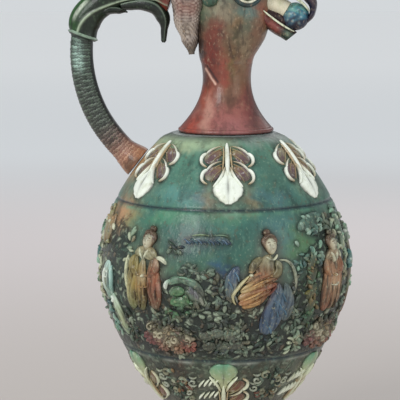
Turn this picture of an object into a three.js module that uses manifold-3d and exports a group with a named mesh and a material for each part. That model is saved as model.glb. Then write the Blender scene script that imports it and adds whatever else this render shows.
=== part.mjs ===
// A lead-glazed earthenware ewer with a phoenix's head. It is built as a potter lutes it together: thrown foot,
// two thrown belly bowls, neck, moulded head with an open beak that holds a pearl, beaded stem handle with a leafy
// scroll, and press-moulded sprigs (palmettes, figures, trees, rosettes) laid on the wall.
// Millimetres, +Z up, origin at the centre of the foot's resting face, beak towards +X, handle towards -X.
import * as THREE from "three";
import { mergeVertices } from "three/addons/utils/BufferGeometryUtils.js";
import Module from "manifold-3d";

const wasm = await Module();
wasm.setup();

// Driving sizes
const SEGMENTS = 36; // facets round each thrown piece
const LUTE = 0.3; // thickness of slip between two luted pieces
const GROWN = 1.5 * LUTE; // growth of a cutter, so that its facets clear the piece by the slip
const SPRIG_LUTE = 0.45; // slip under a sprig, measured from the wall's true curve
const WALL = 5; // thrown wall

const BELLY_RADIUS = 87;
const BELLY_EQUATOR = 166; // height of the widest ring
const BOWL_REACH = 141.5; // depth below the widest ring at which the wall would close to a point
const BOWL_POWER = 1.83; // fullness of the lower wall
const SHOULDER_REACH = 126.5; // height above the widest ring at which the wall would close to a point
const SHOULDER_POWER = 2; // fullness of the upper wall
const BELLY_FLOOR = 47; // underside of the lower bowl
const BELLY_TOP = 255.5; // where the shoulder turns in
const SHOULDER_LIP = 3.2; // rise of the turned-in shoulder
const SHOULDER_FLAT = 35; // radius where the turned-in shoulder meets the neck
const GROOVE_DEPTH = 0.9;
const GROOVE_WIDTH = 2.4;
const SHOULDER_GROOVE = 213.5; // height of the ring cut above the figures
const LOWER_GROOVE = 113; // height of the ring cut below the figures
const TONGUE = 4; // height of the rebate where the two bowls meet

const FOOT_RADIUS = 40;
const FOOT_RIM = 7; // height of the foot's upright rim
const BOSS_RADIUS = 12;
const BOSS_DEPTH = 3;

const NECK_FLANGE = 33.2;
const FLANGE_THICK = 3.2;
const NECK_WAIST = 16.7;
const NECK_TOP = 306;
const WAIST_DROP = 10; // depth of the neck's narrowest ring below its top
const NECK_WAIST_HEIGHT = NECK_TOP - WAIST_DROP;
const NECK_TOP_RADIUS = 17.7;
const FLANGE_SHIFT = 1.2; // how far the flange sits towards the beak
const NECK_LEAN = 1.8; // how far the neck's top sits towards the beak
const BORE = 10.5; // clear radius from mouth to belly
const SPIGOT = 6; // how far the neck's spigot drops into the shoulder

const HEAD_TOP = 376;
const MOUTH_HEIGHT = 16; // rise of the mouth above the crown
const MOUTH_RIM = HEAD_TOP + MOUTH_HEIGHT;
const MOUTH_RADIUS = 19;
const CREST_LOBES = 8;

const PEARL_RADIUS = 9.6;
const PEARL_AT = [48.7, 0, 338.3];
const EYE_AT = [17, 20, 356]; // on the bird's left
const EYE_TURN = 0.34; // how far the eye looks forward, in radians
const EYE_RADIUS = 11.4;
const EYE_RIM = 1.6;
const CURL_AT = [-8.4, 20.5, 350];
const CURL_RADIUS = 5.5;

const STEM_RADIUS = 8.3;
const ROOT_RISE = 23.5; // height of the handle's root above the shoulder groove
const ROOT_HEIGHT = SHOULDER_GROOVE + ROOT_RISE;
const COLLAR_RADIUS = 11.2;
const COLLAR_THICK = 3;
const COLLAR_AT = [-98.6, 0, 325.2];
const COLLAR_LEAN = 0.34; // radians, the inner side lower

const FRONT = -85; // degrees from +X of the scene's middle on the bird's right
const PALMETTE_STEP = 55.8; // degrees between shoulder palmettes, which leave room for the handle
const PALMETTE_RISE = 23.5; // height of a shoulder palmette's middle above the shoulder groove
const LOWER_PALMETTES = 6;
const SPRAY_DROP = 11; // depth of a leaf spray's middle below the shoulder groove
const PALMETTE_DROP = 21; // depth of a lower palmette's middle below the lower groove
const SCENES = 2;
const ORNAMENT = BELLY_RADIUS / 87; // the ornament is drawn for a belly of this radius and grows with it

// Geometry helpers

const vector = (p) => new THREE.Vector3(p[0], p[1], p[2]);

// A closed manifold-3d solid from a three.js geometry, turned right side out if its faces point inwards.
function solidOf(geometry) {
  const bare = geometry.clone();
  bare.deleteAttribute("normal");
  bare.deleteAttribute("uv");
  const merged = mergeVertices(bare, 1e-4);
  const vertProperties = new Float32Array(merged.attributes.position.array);
  const triVerts = new Uint32Array(merged.index.array);
  const made = new wasm.Manifold(new wasm.Mesh({ numProp: 3, vertProperties, triVerts }));
  if (made.volume() > 0) return made;
  for (let i = 0; i < triVerts.length; i += 3) {
    [triVerts[i + 1], triVerts[i + 2]] = [triVerts[i + 2], triVerts[i + 1]];
  }
  return new wasm.Manifold(new wasm.Mesh({ numProp: 3, vertProperties, triVerts }));
}

// The three.js geometry of a manifold-3d solid.
function geometryOf(solid) {
  const mesh = solid.getMesh();
  const positions = new Float32Array(mesh.numVert * 3);
  for (let i = 0; i < mesh.numVert; i++) {
    positions.set(mesh.vertProperties.subarray(i * mesh.numProp, i * mesh.numProp + 3), i * 3);
  }
  const geometry = new THREE.BufferGeometry();
  geometry.setAttribute("position", new THREE.BufferAttribute(positions, 3));
  geometry.setIndex(new THREE.BufferAttribute(mesh.triVerts, 1));
  geometry.computeVertexNormals();
  return geometry;
}

// The largest of a solid's separate bodies.
const largest = (solid) => solid.decompose().sort((a, b) => b.volume() - a.volume())[0];

const joined = (solids) => largest(wasm.Manifold.union(solids));

// A solid of revolution about +Z from a closed outline of [radius, height] points.
function thrown(outline, segments = SEGMENTS) {
  const points = [...outline, outline[0]].map(([r, z]) => new THREE.Vector2(r, z));
  return solidOf(new THREE.LatheGeometry(points, segments).rotateX(Math.PI / 2));
}

// A solid lofted through rings of equal length, each end closed by a fan about the ring's centre.
function loft(rings) {
  const count = rings[0].length;
  const positions = rings.flat().flatMap((p) => [p.x, p.y, p.z]);
  const index = [];
  for (let i = 0; i + 1 < rings.length; i++) {
    for (let j = 0; j < count; j++) {
      const a = i * count + j;
      const b = i * count + ((j + 1) % count);
      index.push(a, b, b + count, a, b + count, a + count);
    }
  }
  const ends = [
    [rings[0], 0, 1],
    [rings.at(-1), (rings.length - 1) * count, 0],
  ];
  for (const [ring, start, turn] of ends) {
    const centre = ring.reduce((sum, p) => sum.add(p), new THREE.Vector3()).divideScalar(count);
    const hub = positions.length / 3;
    positions.push(centre.x, centre.y, centre.z);
    for (let j = 0; j < count; j++) {
      const pair = [start + j, start + ((j + 1) % count)];
      index.push(hub, pair[turn], pair[1 - turn]);
    }
  }
  const geometry = new THREE.BufferGeometry();
  geometry.setAttribute("position", new THREE.Float32BufferAttribute(positions, 3));
  geometry.setIndex(index);
  return solidOf(geometry);
}

// The point at an angle on an oval that gets squarer as square rises above 2.
function oval(angle, square) {
  const side = (v) => Math.sign(v) * Math.abs(v) ** (2 / square);
  return [side(Math.cos(angle)), side(Math.sin(angle))];
}

// A tapering rod along a smooth curve in the XZ plane. path gives [x, z]; sizes gives [share of length, half
// thickness, half width]; grow is added to both all along.
function rod({ path, sizes, steps, sides, square = 2 }, grow = 0) {
  const points = path.map(([x, z]) => new THREE.Vector3(x, 0, z));
  const curve = new THREE.CatmullRomCurve3(points, false, "centripetal");
  const across = new THREE.Vector3(0, 1, 0);
  const rings = [];
  for (let i = 0; i <= steps; i++) {
    const t = i / steps;
    const along = curve.getPointAt(t);
    const out = new THREE.Vector3().crossVectors(curve.getTangentAt(t), across).normalize();
    const after = Math.max(
      1,
      sizes.findIndex(([s]) => s >= t),
    );
    const [s0, h0, w0] = sizes[after - 1];
    const [s1, h1, w1] = sizes[after];
    const mix = THREE.MathUtils.smoothstep((t - s0) / (s1 - s0), 0, 1);
    const high = h0 + (h1 - h0) * mix + grow;
    const wide = w0 + (w1 - w0) * mix + grow;
    rings.push(
      Array.from({ length: sides }, (_, j) => {
        const [c, s] = oval((2 * Math.PI * j) / sides, square);
        return along
          .clone()
          .addScaledVector(out, high * c)
          .addScaledVector(across, wide * s);
      }),
    );
  }
  return loft(rings);
}

// The belly's wall

function bellyRadius(z) {
  const away = z - BELLY_EQUATOR;
  const closed = away > 0 ? (away / SHOULDER_REACH) ** SHOULDER_POWER : (-away / BOWL_REACH) ** BOWL_POWER;
  return BELLY_RADIUS * (1 - closed);
}

const innerWall = (z) => [bellyRadius(z) - WALL, z];

// Heights of the outline's points from low to high, with each ring groove's three points among them.
function wallHeights(low, high, step, grooves) {
  const count = Math.round((high - low) / step);
  const plain = Array.from({ length: count + 1 }, (_, i) => low + ((high - low) * i) / count);
  const clear = plain.filter((z) => grooves.every((g) => Math.abs(z - g) > GROOVE_WIDTH));
  const cut = grooves.flatMap((g) => [g - GROOVE_WIDTH / 2, g, g + GROOVE_WIDTH / 2]);
  return [...clear, ...cut].sort((a, b) => a - b);
}

const outerWall = (low, high, groove) =>
  wallHeights(low, high, 12, [groove]).map((z) => [bellyRadius(z) - (z === groove ? GROOVE_DEPTH : 0), z]);

function lowerBowl() {
  const seam = BELLY_EQUATOR - LUTE / 2;
  const tongue = BELLY_RADIUS - WALL / 2;
  return thrown([
    [0, BELLY_FLOOR - BOSS_DEPTH],
    [BOSS_RADIUS, BELLY_FLOOR - BOSS_DEPTH],
    [BOSS_RADIUS, BELLY_FLOOR],
    ...outerWall(BELLY_FLOOR, seam, LOWER_GROOVE),
    [tongue, seam],
    [tongue, BELLY_EQUATOR + TONGUE],
    ...wallHeights(BELLY_FLOOR + 2 * WALL, BELLY_EQUATOR + TONGUE, 18, []).map(innerWall).reverse(),
    [0, BELLY_FLOOR + 2 * WALL - 2],
  ]);
}

function upperBowl() {
  const seam = BELLY_EQUATOR + LUTE / 2;
  const rebate = BELLY_EQUATOR + TONGUE + LUTE;
  const tongue = BELLY_RADIUS - WALL / 2 + LUTE;
  const roof = BELLY_TOP + SHOULDER_LIP;
  const opening = BORE + WALL + LUTE;
  return thrown([
    ...outerWall(seam, BELLY_TOP, SHOULDER_GROOVE),
    [SHOULDER_FLAT, roof],
    [opening, roof],
    [opening, roof - WALL],
    ...wallHeights(rebate, BELLY_TOP - WALL, 18, []).map(innerWall).reverse(),
    [tongue, rebate],
    [tongue, seam],
  ]);
}

// The foot: an upright rim and a concave flare to the waist, with a dish that the belly's boss sits in.
function foot() {
  const top = BELLY_FLOOR - LUTE;
  const waist = bellyRadius(BELLY_FLOOR);
  const low = FOOT_RIM + 1.5;
  const steps = 6;
  const flare = Array.from({ length: steps + 1 }, (_, i) => {
    const t = i / steps;
    return [waist + (FOOT_RADIUS - 3 - waist) * (1 - t) ** 2.2, low + (top - low) * t];
  });
  const dish = top - BOSS_DEPTH;
  return thrown([
    [0, 0],
    [FOOT_RADIUS - 1, 0],
    [FOOT_RADIUS, 1],
    [FOOT_RADIUS, FOOT_RIM - 1],
    [FOOT_RADIUS - 1.5, FOOT_RIM],
    ...flare,
    [BOSS_RADIUS + LUTE, top],
    [BOSS_RADIUS + LUTE, dish],
    [0, dish],
  ]);
}

// The neck: a flange on the shoulder, a concave sweep to the waist, and a slight swell to the head.
function neck() {
  const bottom = BELLY_TOP + SHOULDER_LIP + LUTE;
  const flareFoot = bottom + FLANGE_THICK;
  const steps = 7;
  const sweep = Array.from({ length: steps + 1 }, (_, i) => {
    const t = 1 - i / steps;
    return [
      NECK_WAIST + (NECK_FLANGE - 1.2 - NECK_WAIST) * t ** 2.1,
      NECK_WAIST_HEIGHT - (NECK_WAIST_HEIGHT - flareFoot) * t,
    ];
  });
  const body = thrown([
    [0, bottom],
    [NECK_FLANGE - 1, bottom],
    [NECK_FLANGE, bottom + FLANGE_THICK / 2],
    ...sweep,
    [NECK_TOP_RADIUS, NECK_TOP],
    [0, NECK_TOP],
  ]);
  const leaning = body.warp((point) => {
    const t = THREE.MathUtils.smoothstep(point[2], flareFoot, NECK_WAIST_HEIGHT);
    point[0] += FLANGE_SHIFT + (NECK_LEAN - FLANGE_SHIFT) * t;
  });
  const tube = (radius, low, high) => thrown([[0, low], [radius, low], [radius, high], [0, high]]);
  const spigot = tube(BORE + WALL, bottom - SPIGOT, bottom + FLANGE_THICK / 2);
  return leaning.add(spigot).subtract(tube(BORE, bottom - SPIGOT - 1, NECK_TOP + 1));
}

// The moulded head: level sections that swell forward to the throat and brow, round a straight bore.
// Each section is [height, centre, half length, half width].
const HEAD_SECTIONS = [
  [NECK_TOP + LUTE, NECK_LEAN, NECK_TOP_RADIUS, NECK_TOP_RADIUS],
  [311, 1.7, 19.1, 18],
  [316, 3, 20.8, 19],
  [323, 5, 22.9, 20],
  [332, 6, 24.7, 21],
  [342, 6.2, 25.6, 21.8],
  [351, 6, 26.4, 22.3],
  [360, 4, 25, 22],
  [368, 1.5, 21.5, 20],
  [HEAD_TOP, 0, 17.5, 17],
];

// grow widens every section and lifts the crown, for cutting a neighbour clear of the head.
function headForm(grow) {
  const sides = 24;
  const top = [HEAD_TOP + LUTE, ...HEAD_SECTIONS.at(-1).slice(1)];
  const sections = grow ? [...HEAD_SECTIONS, top] : HEAD_SECTIONS;
  const rings = sections.map(([z, centre, long, wide]) =>
    Array.from({ length: sides }, (_, j) => {
      const a = (2 * Math.PI * j) / sides;
      return new THREE.Vector3(centre + (long + grow) * Math.cos(a), (wide + grow) * Math.sin(a), z);
    }),
  );
  return loft(rings);
}

function head() {
  const low = NECK_TOP - 5;
  const high = HEAD_TOP + 5;
  const bore = [[0, low], [BORE, low], [BORE, high], [0, high]];
  return headForm(0).subtract(thrown(bore, 24));
}

// The mouth: a cup on the crown with a scalloped wall, like an open flower.
function mouthCup() {
  const bottom = HEAD_TOP + LUTE;
  const sides = 4 * CREST_LOBES;
  const rows = 4;
  const rings = Array.from({ length: rows + 1 }, (_, i) => {
    const t = i / rows;
    const base = 15 + (MOUTH_RADIUS - 15) * t ** 1.6;
    return Array.from({ length: sides }, (_, j) => {
      const a = (2 * Math.PI * j) / sides;
      const r = base + 1.1 * Math.min(1, 3 * t) * Math.abs(Math.cos((CREST_LOBES * a) / 2));
      return new THREE.Vector3(r * Math.cos(a), r * Math.sin(a), bottom + (MOUTH_RIM - bottom) * t);
    });
  });
  const low = bottom - 5;
  const high = MOUTH_RIM + 5;
  const brim = MOUTH_RADIUS - 3.5;
  const flare = [[0, low], [BORE, low], [BORE, bottom + 5], [brim, MOUTH_RIM], [brim, high], [0, high]];
  return loft(rings).subtract(thrown(flare, 24));
}

const UPPER_BEAK = {
  path: [[24, 359], [43, 359.5], [55, 354], [60.6, 346.5], [60.2, 340], [56, 334.4], [52.6, 330.4]],
  sizes: [[0, 7.5, 14], [0.35, 6, 11.5], [0.6, 4, 8.5], [0.8, 2.2, 5.5], [1, 1, 2.6]],
  steps: 13,
  sides: 12,
};
const LOWER_BEAK = {
  path: [[20, 343.5], [29, 336.6], [36, 330.9], [42.4, 327.2], [46.4, 324.6]],
  sizes: [[0, 7, 13], [0.45, 5, 10.5], [1, 4.9, 6.3]],
  steps: 8,
  sides: 12,
};
const BIRD_TONGUE = {
  path: [[25, 349], [34, 346.5], [42.6, 342.3]],
  sizes: [[0, 7, 10], [0.5, 7, 9.5], [1, 6.6, 7.5]],
  steps: 5,
  sides: 10,
};
// The tuft behind the head: a broad leaf of feathers that wraps the nape and hangs to a blunt tip.
const NAPE_TUFT = {
  path: [[-21, 367], [-24.2, 350], [-25.2, 335], [-24, 324], [-22.8, 312]],
  sizes: [[0, 7, 14], [0.3, 12.2, 21], [0.6, 9.6, 14.5], [0.8, 7.6, 9], [1, 2.4, 2.8]],
  steps: 10,
  sides: 16,
  square: 3.4,
};

// A ringed eye: a raised rim round a bulging lens.
function eye(side) {
  const ring = new THREE.TorusGeometry(EYE_RADIUS, EYE_RIM, 5, 16).rotateX(Math.PI / 2);
  const lens = new THREE.SphereGeometry(EYE_RADIUS, 12, 6).scale(1, 0.36, 1);
  const [x, y, z] = EYE_AT;
  const turned = (g) => solidOf(g.rotateZ(-side * EYE_TURN).translate(x, side * y, z));
  return turned(ring).add(turned(lens));
}

function browCurl(side) {
  const [x, y, z] = CURL_AT;
  const curl = new THREE.SphereGeometry(CURL_RADIUS, 10, 6).scale(1.15, 0.9, 1.05);
  return solidOf(curl.translate(x, side * y, z));
}

function buildHead() {
  const skull = headForm(GROWN);
  const pearl = (radius) => solidOf(new THREE.SphereGeometry(radius, 18, 12).translate(...PEARL_AT));
  const pearlSeat = pearl(PEARL_RADIUS + GROWN);
  const tuft = rod(NAPE_TUFT).subtract(skull);
  const tongue = rod(BIRD_TONGUE).subtract(skull).subtract(pearlSeat);
  const tongueSeat = rod(BIRD_TONGUE, GROWN);
  const upper = rod(UPPER_BEAK).subtract(skull).subtract(pearlSeat).subtract(tongueSeat);
  const lower = rod(LOWER_BEAK).subtract(skull).subtract(pearlSeat).subtract(tongueSeat);
  const eyeSeat = (side) => eye(side).translate(0, side * GROWN, 0);
  const sideCut = (solid, side) => solid.subtract(skull).subtract(rod(NAPE_TUFT, GROWN)).subtract(eyeSeat(side));
  return {
    head: head(),
    beak_upper: largest(upper.subtract(rod(LOWER_BEAK, GROWN)).subtract(eye(1)).subtract(eye(-1))),
    beak_lower: largest(lower),
    tongue: largest(tongue),
    pearl: pearl(PEARL_RADIUS),
    eye_left: largest(eye(1).subtract(skull).subtract(rod(UPPER_BEAK, GROWN))),
    eye_right: largest(eye(-1).subtract(skull).subtract(rod(UPPER_BEAK, GROWN))),
    brow_curl_left: largest(sideCut(browCurl(1), 1)),
    brow_curl_right: largest(sideCut(browCurl(-1), -1)),
    nape_tuft: largest(tuft),
  };
}

// The handle: a beaded stem from the shoulder, a thin collar, and a scroll with two hanging leaves.
const ROOT_REACH = bellyRadius(ROOT_HEIGHT) + 0.8;
const STEM = {
  path: [[-ROOT_REACH, ROOT_HEIGHT], [-ROOT_REACH - 14, 250], [-89.8, 272], [-97.6, 294.5], [-98.8, 325]],
  sizes: [[0, 12, 12], [0.16, STEM_RADIUS + 0.5, STEM_RADIUS], [1, STEM_RADIUS, STEM_RADIUS]],
  steps: 14,
  sides: 14,
};
const SCROLL = {
  path: [[-98.8, 325.5], [-96.6, 336], [-91.5, 343], [-83, 349], [-70, 353.8], [-54, 355.6], [-36, 352.5]],
  sizes: [[0, 10.4, 9], [0.12, 11.8, 9.4], [0.3, 10.9, 9.6], [0.6, 8.6, 9], [0.85, 9, 9], [1, 13, 8.6]],
  steps: 16,
  sides: 14,
};
const INNER_LEAF = {
  path: [[-88.5, 335.8], [-84, 341.2], [-76, 343], [-67.2, 341]],
  sizes: [[0, 2.6, 6], [0.45, 3.2, 7.5], [0.8, 3, 5], [1, 1.6, 2.4]],
  steps: 8,
  sides: 8,
};
const DROP_LEAF = {
  path: [[-71, 345.6], [-64, 346.6], [-56, 347], [-47, 344], [-41.8, 335.5], [-41.8, 327], [-42.2, 320]],
  sizes: [[0, 3.6, 6.2], [0.14, 4.4, 6.8], [0.4, 5.4, 8], [0.63, 5.2, 6.5], [0.84, 2.7, 2.8], [1, 2, 2.2]],
  steps: 13,
  sides: 10,
};

function collar(grow) {
  const radius = COLLAR_RADIUS + grow;
  const disc = new THREE.CylinderGeometry(radius, radius - 0.5, COLLAR_THICK + 2 * grow, 24);
  return solidOf(disc.rotateX(Math.PI / 2).rotateY(COLLAR_LEAN).translate(...COLLAR_AT));
}

// The belly's outer shape grown by the slip, for trimming what is luted against it.
function wallCutter() {
  const heights = wallHeights(BELLY_EQUATOR, BELLY_TOP, 9, []);
  return thrown([[0, BELLY_EQUATOR], ...heights.map((z) => [bellyRadius(z) + SPRIG_LUTE, z]), [0, BELLY_TOP]]);
}

function buildHandle() {
  const collarSeat = collar(GROWN);
  const scrollSeat = rod(SCROLL, GROWN);
  const tuftSeat = rod(NAPE_TUFT, GROWN);
  const leaf = (form) => rod(form).subtract(scrollSeat).subtract(collarSeat);
  return {
    handle_stem: largest(rod(STEM).subtract(collarSeat).subtract(wallCutter())),
    handle_collar: collar(0),
    handle_scroll: largest(rod(SCROLL).subtract(collarSeat).subtract(tuftSeat).subtract(headForm(GROWN))),
    leaf_inner: largest(leaf(INNER_LEAF)),
    leaf_drop: largest(leaf(DROP_LEAF).subtract(rod(INNER_LEAF, GROWN)).subtract(tuftSeat)),
  };
}

// Sprigs: each is a handful of domed lobes laid on the wall and joined into one moulded piece.

// The height reached by walking a distance up the wall from a height, in short straight steps.
function stepUpWall(height, distance) {
  const steps = 12;
  let z = height;
  for (let i = 0; i < steps; i++) {
    const slope = bellyRadius(z + 0.5) - bellyRadius(z - 0.5);
    z += distance / steps / Math.hypot(1, slope);
  }
  return z;
}

// The point on the wall at an angle from +X (degrees) and a height, moved sideways, up the wall and outwards.
function onWall([angle, height], side, up, out) {
  const z = stepUpWall(height, up);
  const slope = Math.atan(bellyRadius(z + 0.5) - bellyRadius(z - 0.5));
  const r = bellyRadius(z) + out * Math.cos(slope);
  const a = THREE.MathUtils.degToRad(angle) + side / bellyRadius(z);
  return new THREE.Vector3(r * Math.cos(a), r * Math.sin(a), z - out * Math.sin(slope));
}

// A domed lobe along a bent line of [side, up] points. width and high are its greatest half width and height,
// full is the share of its length at which it is widest, and a low blunt makes its ends rounder.
function lobe(place, path, width, high, full = 0.5, blunt = 0.5) {
  const points = path.map(([u, v]) => new THREE.Vector3(u * ORNAMENT, v * ORNAMENT, 0));
  const curve = new THREE.CatmullRomCurve3(points, false, "centripetal");
  const steps = Math.max(3, Math.min(5, Math.round(curve.getLength() / 7)));
  const arch = 3;
  const rings = [];
  for (let i = 0; i <= steps; i++) {
    const t = 0.03 + (0.94 * i) / steps;
    const swell = Math.sin(Math.PI * t ** (Math.log(0.5) / Math.log(full))) ** blunt;
    const middle = curve.getPointAt(t);
    const along = curve.getTangentAt(t);
    const reach = width * ORNAMENT * swell;
    const at = (share, out) =>
      onWall(place, middle.x - along.y * share * reach, middle.y + along.x * share * reach, out);
    const ring = Array.from({ length: arch + 1 }, (_, j) => {
      const a = (Math.PI * j) / arch;
      return at(Math.cos(a), SPRIG_LUTE + 0.3 + high * ORNAMENT * swell ** 0.6 * Math.sin(a));
    });
    rings.push([...ring, at(0, SPRIG_LUTE)]);
  }
  return loft(rings);
}

const moulded = (place, lobes) => joined(lobes.map((shape) => lobe(place, ...shape)));

// A palmette: a stem that widens to a spade, and two pairs of petals. way is 1 to hang, -1 to stand.
function palmette(place, way, size) {
  const at = (points) => points.map(([u, v]) => [u * size, v * size * way]);
  const petals = [-1, 1].flatMap((s) => [
    [at([[0, 13], [s * 9, 12.8], [s * 16.6, 7.8]]), 5.2 * size, 2.6, 0.66, 0.38],
    [at([[0, 4], [s * 9, 1.6], [s * 16.6, -6]]), 5.2 * size, 2.6, 0.68, 0.38],
  ]);
  return moulded(place, [
    [at([[0, 5], [0, -9], [0, -23.4]]), 10.4 * size, 3, 0.66, 0.5],
    [at([[0, 22], [0, 9], [0, -5]]), 2.9 * size, 2.9, 0.5, 0.35],
    ...petals,
  ]);
}

// A standing figure: two falls of robe, shoulders, two sleeves that meet in front, head, hair and a scarf.
function standingFigure(place) {
  return moulded(place, [
    [[[-4, 15], [-8, -6], [-10, -29]], 9.4, 4.4, 0.6, 0.4],
    [[[4, 15], [8, -4], [10, -24]], 8, 4.2, 0.6, 0.4],
    [[[-9, 15], [0, 18.5], [9, 14]], 6, 4.6, 0.5, 0.45],
    [[[-9, 17], [-13, 6], [-3, 0]], 4.2, 5, 0.5, 0.5],
    [[[9, 15], [13, 6], [4, -1]], 4, 5, 0.5, 0.5],
    [[[1, 19], [3, 31]], 5, 4.8, 0.5, 0.55],
    [[[0, 28], [4, 37]], 4.4, 4.2, 0.5, 0.6],
    [[[8, 14], [15, 13.5], [20, 9]], 2.6, 2.4, 0.5, 0.5],
  ]);
}

// An attendant: two falls of a long robe, shoulders, sleeves, head and a top knot.
function attendant(place) {
  return moulded(place, [
    [[[-4, 14], [-6, -4], [-7, -26]], 8.4, 4.2, 0.6, 0.38],
    [[[4, 14], [6, -4], [6, -24]], 8.4, 4.2, 0.6, 0.38],
    [[[-9, 12], [0, 15], [9, 12]], 5.6, 4.6, 0.5, 0.45],
    [[[-9, 13], [-11, 4], [-1, -1]], 3.8, 5, 0.5, 0.5],
    [[[9, 13], [11, 4], [1, -1]], 3.8, 5, 0.5, 0.5],
    [[[0, 16], [0, 27]], 4.8, 4.6, 0.5, 0.55],
    [[[0, 25], [0, 33]], 4, 4.2, 0.5, 0.6],
  ]);
}

// A seated figure: trunk leaning back, knees drawn across, spread skirt and cushion, arms, head and a scarf.
function seatedFigure(place) {
  return moulded(place, [
    [[[8, 21], [3, 12], [-1, 0]], 9.4, 4.8, 0.45, 0.45],
    [[[11, 8], [-2, -3], [-15, -10]], 9, 5.2, 0.5, 0.42],
    [[[-16, 14], [-24, 5], [-22, -10]], 6.8, 2.8, 0.5, 0.45],
    [[[-15, 9], [-18, -4], [-12, -13]], 5.4, 3, 0.5, 0.45],
    [[[12, 4], [12, -14], [8, -37]], 8.4, 3.8, 0.5, 0.4],
    [[[19, 4], [23, -12], [19, -31]], 7.2, 3.4, 0.5, 0.4],
    [[[2, 20], [-8, 18], [-13, 9]], 4, 4.8, 0.5, 0.5],
    [[[13, 17], [16, 8], [6, 3]], 4, 5, 0.5, 0.5],
    [[[8, 21], [9, 33]], 5, 5, 0.5, 0.55],
    [[[4, 30], [7, 38]], 4.6, 4.4, 0.5, 0.6],
    [[[13, 17], [22, 16], [28, 7], [24.5, -10]], 2.2, 2.6, 0.5, 0.5],
  ]);
}

// A streamer of cloth that billows and then falls in a narrow fold.
const streamer = (place) =>
  moulded(place, [
    [[[-1, 25], [-3, 12], [0, -2]], 8.4, 3.4, 0.5, 0.42],
    [[[2, 3], [8, -8], [12, -26]], 4.6, 2.8, 0.5, 0.45],
  ]);

// A tree: a bent trunk with rounded masses of leaves.
const tree = (place) =>
  moulded(place, [
    [[[0, -30], [-3, -8], [0, 12], [2, 30]], 2.6, 2.4, 0.5, 0.3],
    [[[-7, 22], [0, 28], [7, 32]], 6.5, 3, 0.5, 0.5],
    [[[-8, 6], [0, 9], [8, 15]], 7, 3.6, 0.5, 0.5],
    [[[-3, -15], [4, -7], [9, 0]], 5, 2.8, 0.5, 0.5],
  ]);

// A sapling beside the seated figure.
const sapling = (place) =>
  moulded(place, [
    [[[1, -30], [-1, -6], [1, 22]], 2, 2, 0.5, 0.3],
    [[[-3.5, 10], [0, 15], [3.5, 20]], 3.6, 2.4, 0.5, 0.5],
    [[[-3, -6], [0, -1], [3, 4]], 3.2, 2.4, 0.5, 0.5],
    [[[-3, -22], [0, -17], [3, -12]], 3.2, 2.2, 0.5, 0.5],
  ]);

// A low bank of leaves above the scene.
const cloudBand = (place) =>
  moulded(place, [
    [[[-17, -1], [-6, 2], [5, 1]], 3.6, 1.7, 0.5, 0.5],
    [[[-3, 0], [7, 2], [17, -1]], 3.6, 1.7, 0.5, 0.5],
  ]);

// A clump of rosettes with leaves at the foot of the scene.
const rosettes = (place) =>
  moulded(place, [
    [[[-17, -3], [0, 1], [17, -4]], 8, 2, 0.5, 0.4],
    [[[-17, 4], [-5, 4]], 6, 3.6, 0.5, 0.5],
    [[[4, -3], [17, -3]], 6.5, 3.6, 0.5, 0.5],
    [[[-5, 7], [7, 7]], 5, 3.4, 0.5, 0.5],
    [[[-8, -5], [5, -6]], 6, 3.4, 0.5, 0.5],
  ]);

// Rocks below the seated figure.
const ledge = (place) =>
  moulded(place, [
    [[[-14, 2], [-3, 5], [7, 3]], 7.5, 3.2, 0.5, 0.45],
    [[[-12, -6], [1, -5], [14, -4]], 7.4, 3, 0.5, 0.45],
  ]);

// A hillside between the figures, with a crest that curls over.
const hill = (place) =>
  moulded(place, [
    [[[-15, 5], [-5, 8], [4, 5.5], [9, -2]], 3.4, 3, 0.5, 0.45],
    [[[-12, -4], [0, -4], [9, -9]], 7.6, 2.4, 0.5, 0.45],
  ]);

// Leafy masses: beside the streamer, above the attendant and along the scene's edge.
const sideLeaves = (place) =>
  moulded(place, [
    [[[-6, -12], [-4, 0], [-6, 13]], 5.6, 2.8, 0.5, 0.45],
    [[[3, -9], [3, 2], [5, 11]], 5, 2.4, 0.5, 0.45],
  ]);
const leafSpray = (place) =>
  moulded(place, [
    [[[-11, -3], [0, 1], [9, -1]], 5, 2.2, 0.5, 0.45],
    [[[-3, 3], [4, 4.4], [13, 2]], 3.6, 2.2, 0.5, 0.45],
  ]);
const edgeLeaves = (place) =>
  moulded(place, [
    [[[-1, -15], [1, -2], [0, 11]], 4.4, 2.6, 0.5, 0.45],
    [[[-4, -4], [-3, 4], [-1, 13]], 3.6, 2.4, 0.5, 0.45],
  ]);

// The whole ewer

const glaze = (color, roughness) => new THREE.MeshStandardMaterial({ color, roughness, metalness: 0 });
const GLAZES = {
  green: glaze(0x3f6b55, 0.22),
  dark: glaze(0x26382c, 0.28),
  amber: glaze(0x9a4f38, 0.25),
  cream: glaze(0xd8dcb8, 0.3),
  blue: glaze(0x2b4a78, 0.22),
  olive: glaze(0x6d6c35, 0.28),
  feather: glaze(0x8d7568, 0.35),
};

const ewer = new THREE.Group();

function add(name, solid, kind) {
  const mesh = new THREE.Mesh(geometryOf(solid), GLAZES[kind]);
  mesh.name = name;
  ewer.add(mesh);
}

add("foot", foot(), "green");
add("belly_lower", lowerBowl(), "green");
add("belly_upper", upperBowl(), "green");
add("neck", neck(), "amber");
add("mouth_cup", mouthCup(), "green");

const HEAD_GLAZES = {
  head: "green",
  beak_upper: "feather",
  beak_lower: "amber",
  tongue: "cream",
  pearl: "blue",
  eye_left: "cream",
  eye_right: "cream",
  brow_curl_left: "green",
  brow_curl_right: "green",
  nape_tuft: "feather",
};
for (const [name, solid] of Object.entries(buildHead())) add(name, solid, HEAD_GLAZES[name]);

for (const [name, solid] of Object.entries(buildHandle())) add(name, solid, "dark");

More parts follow.
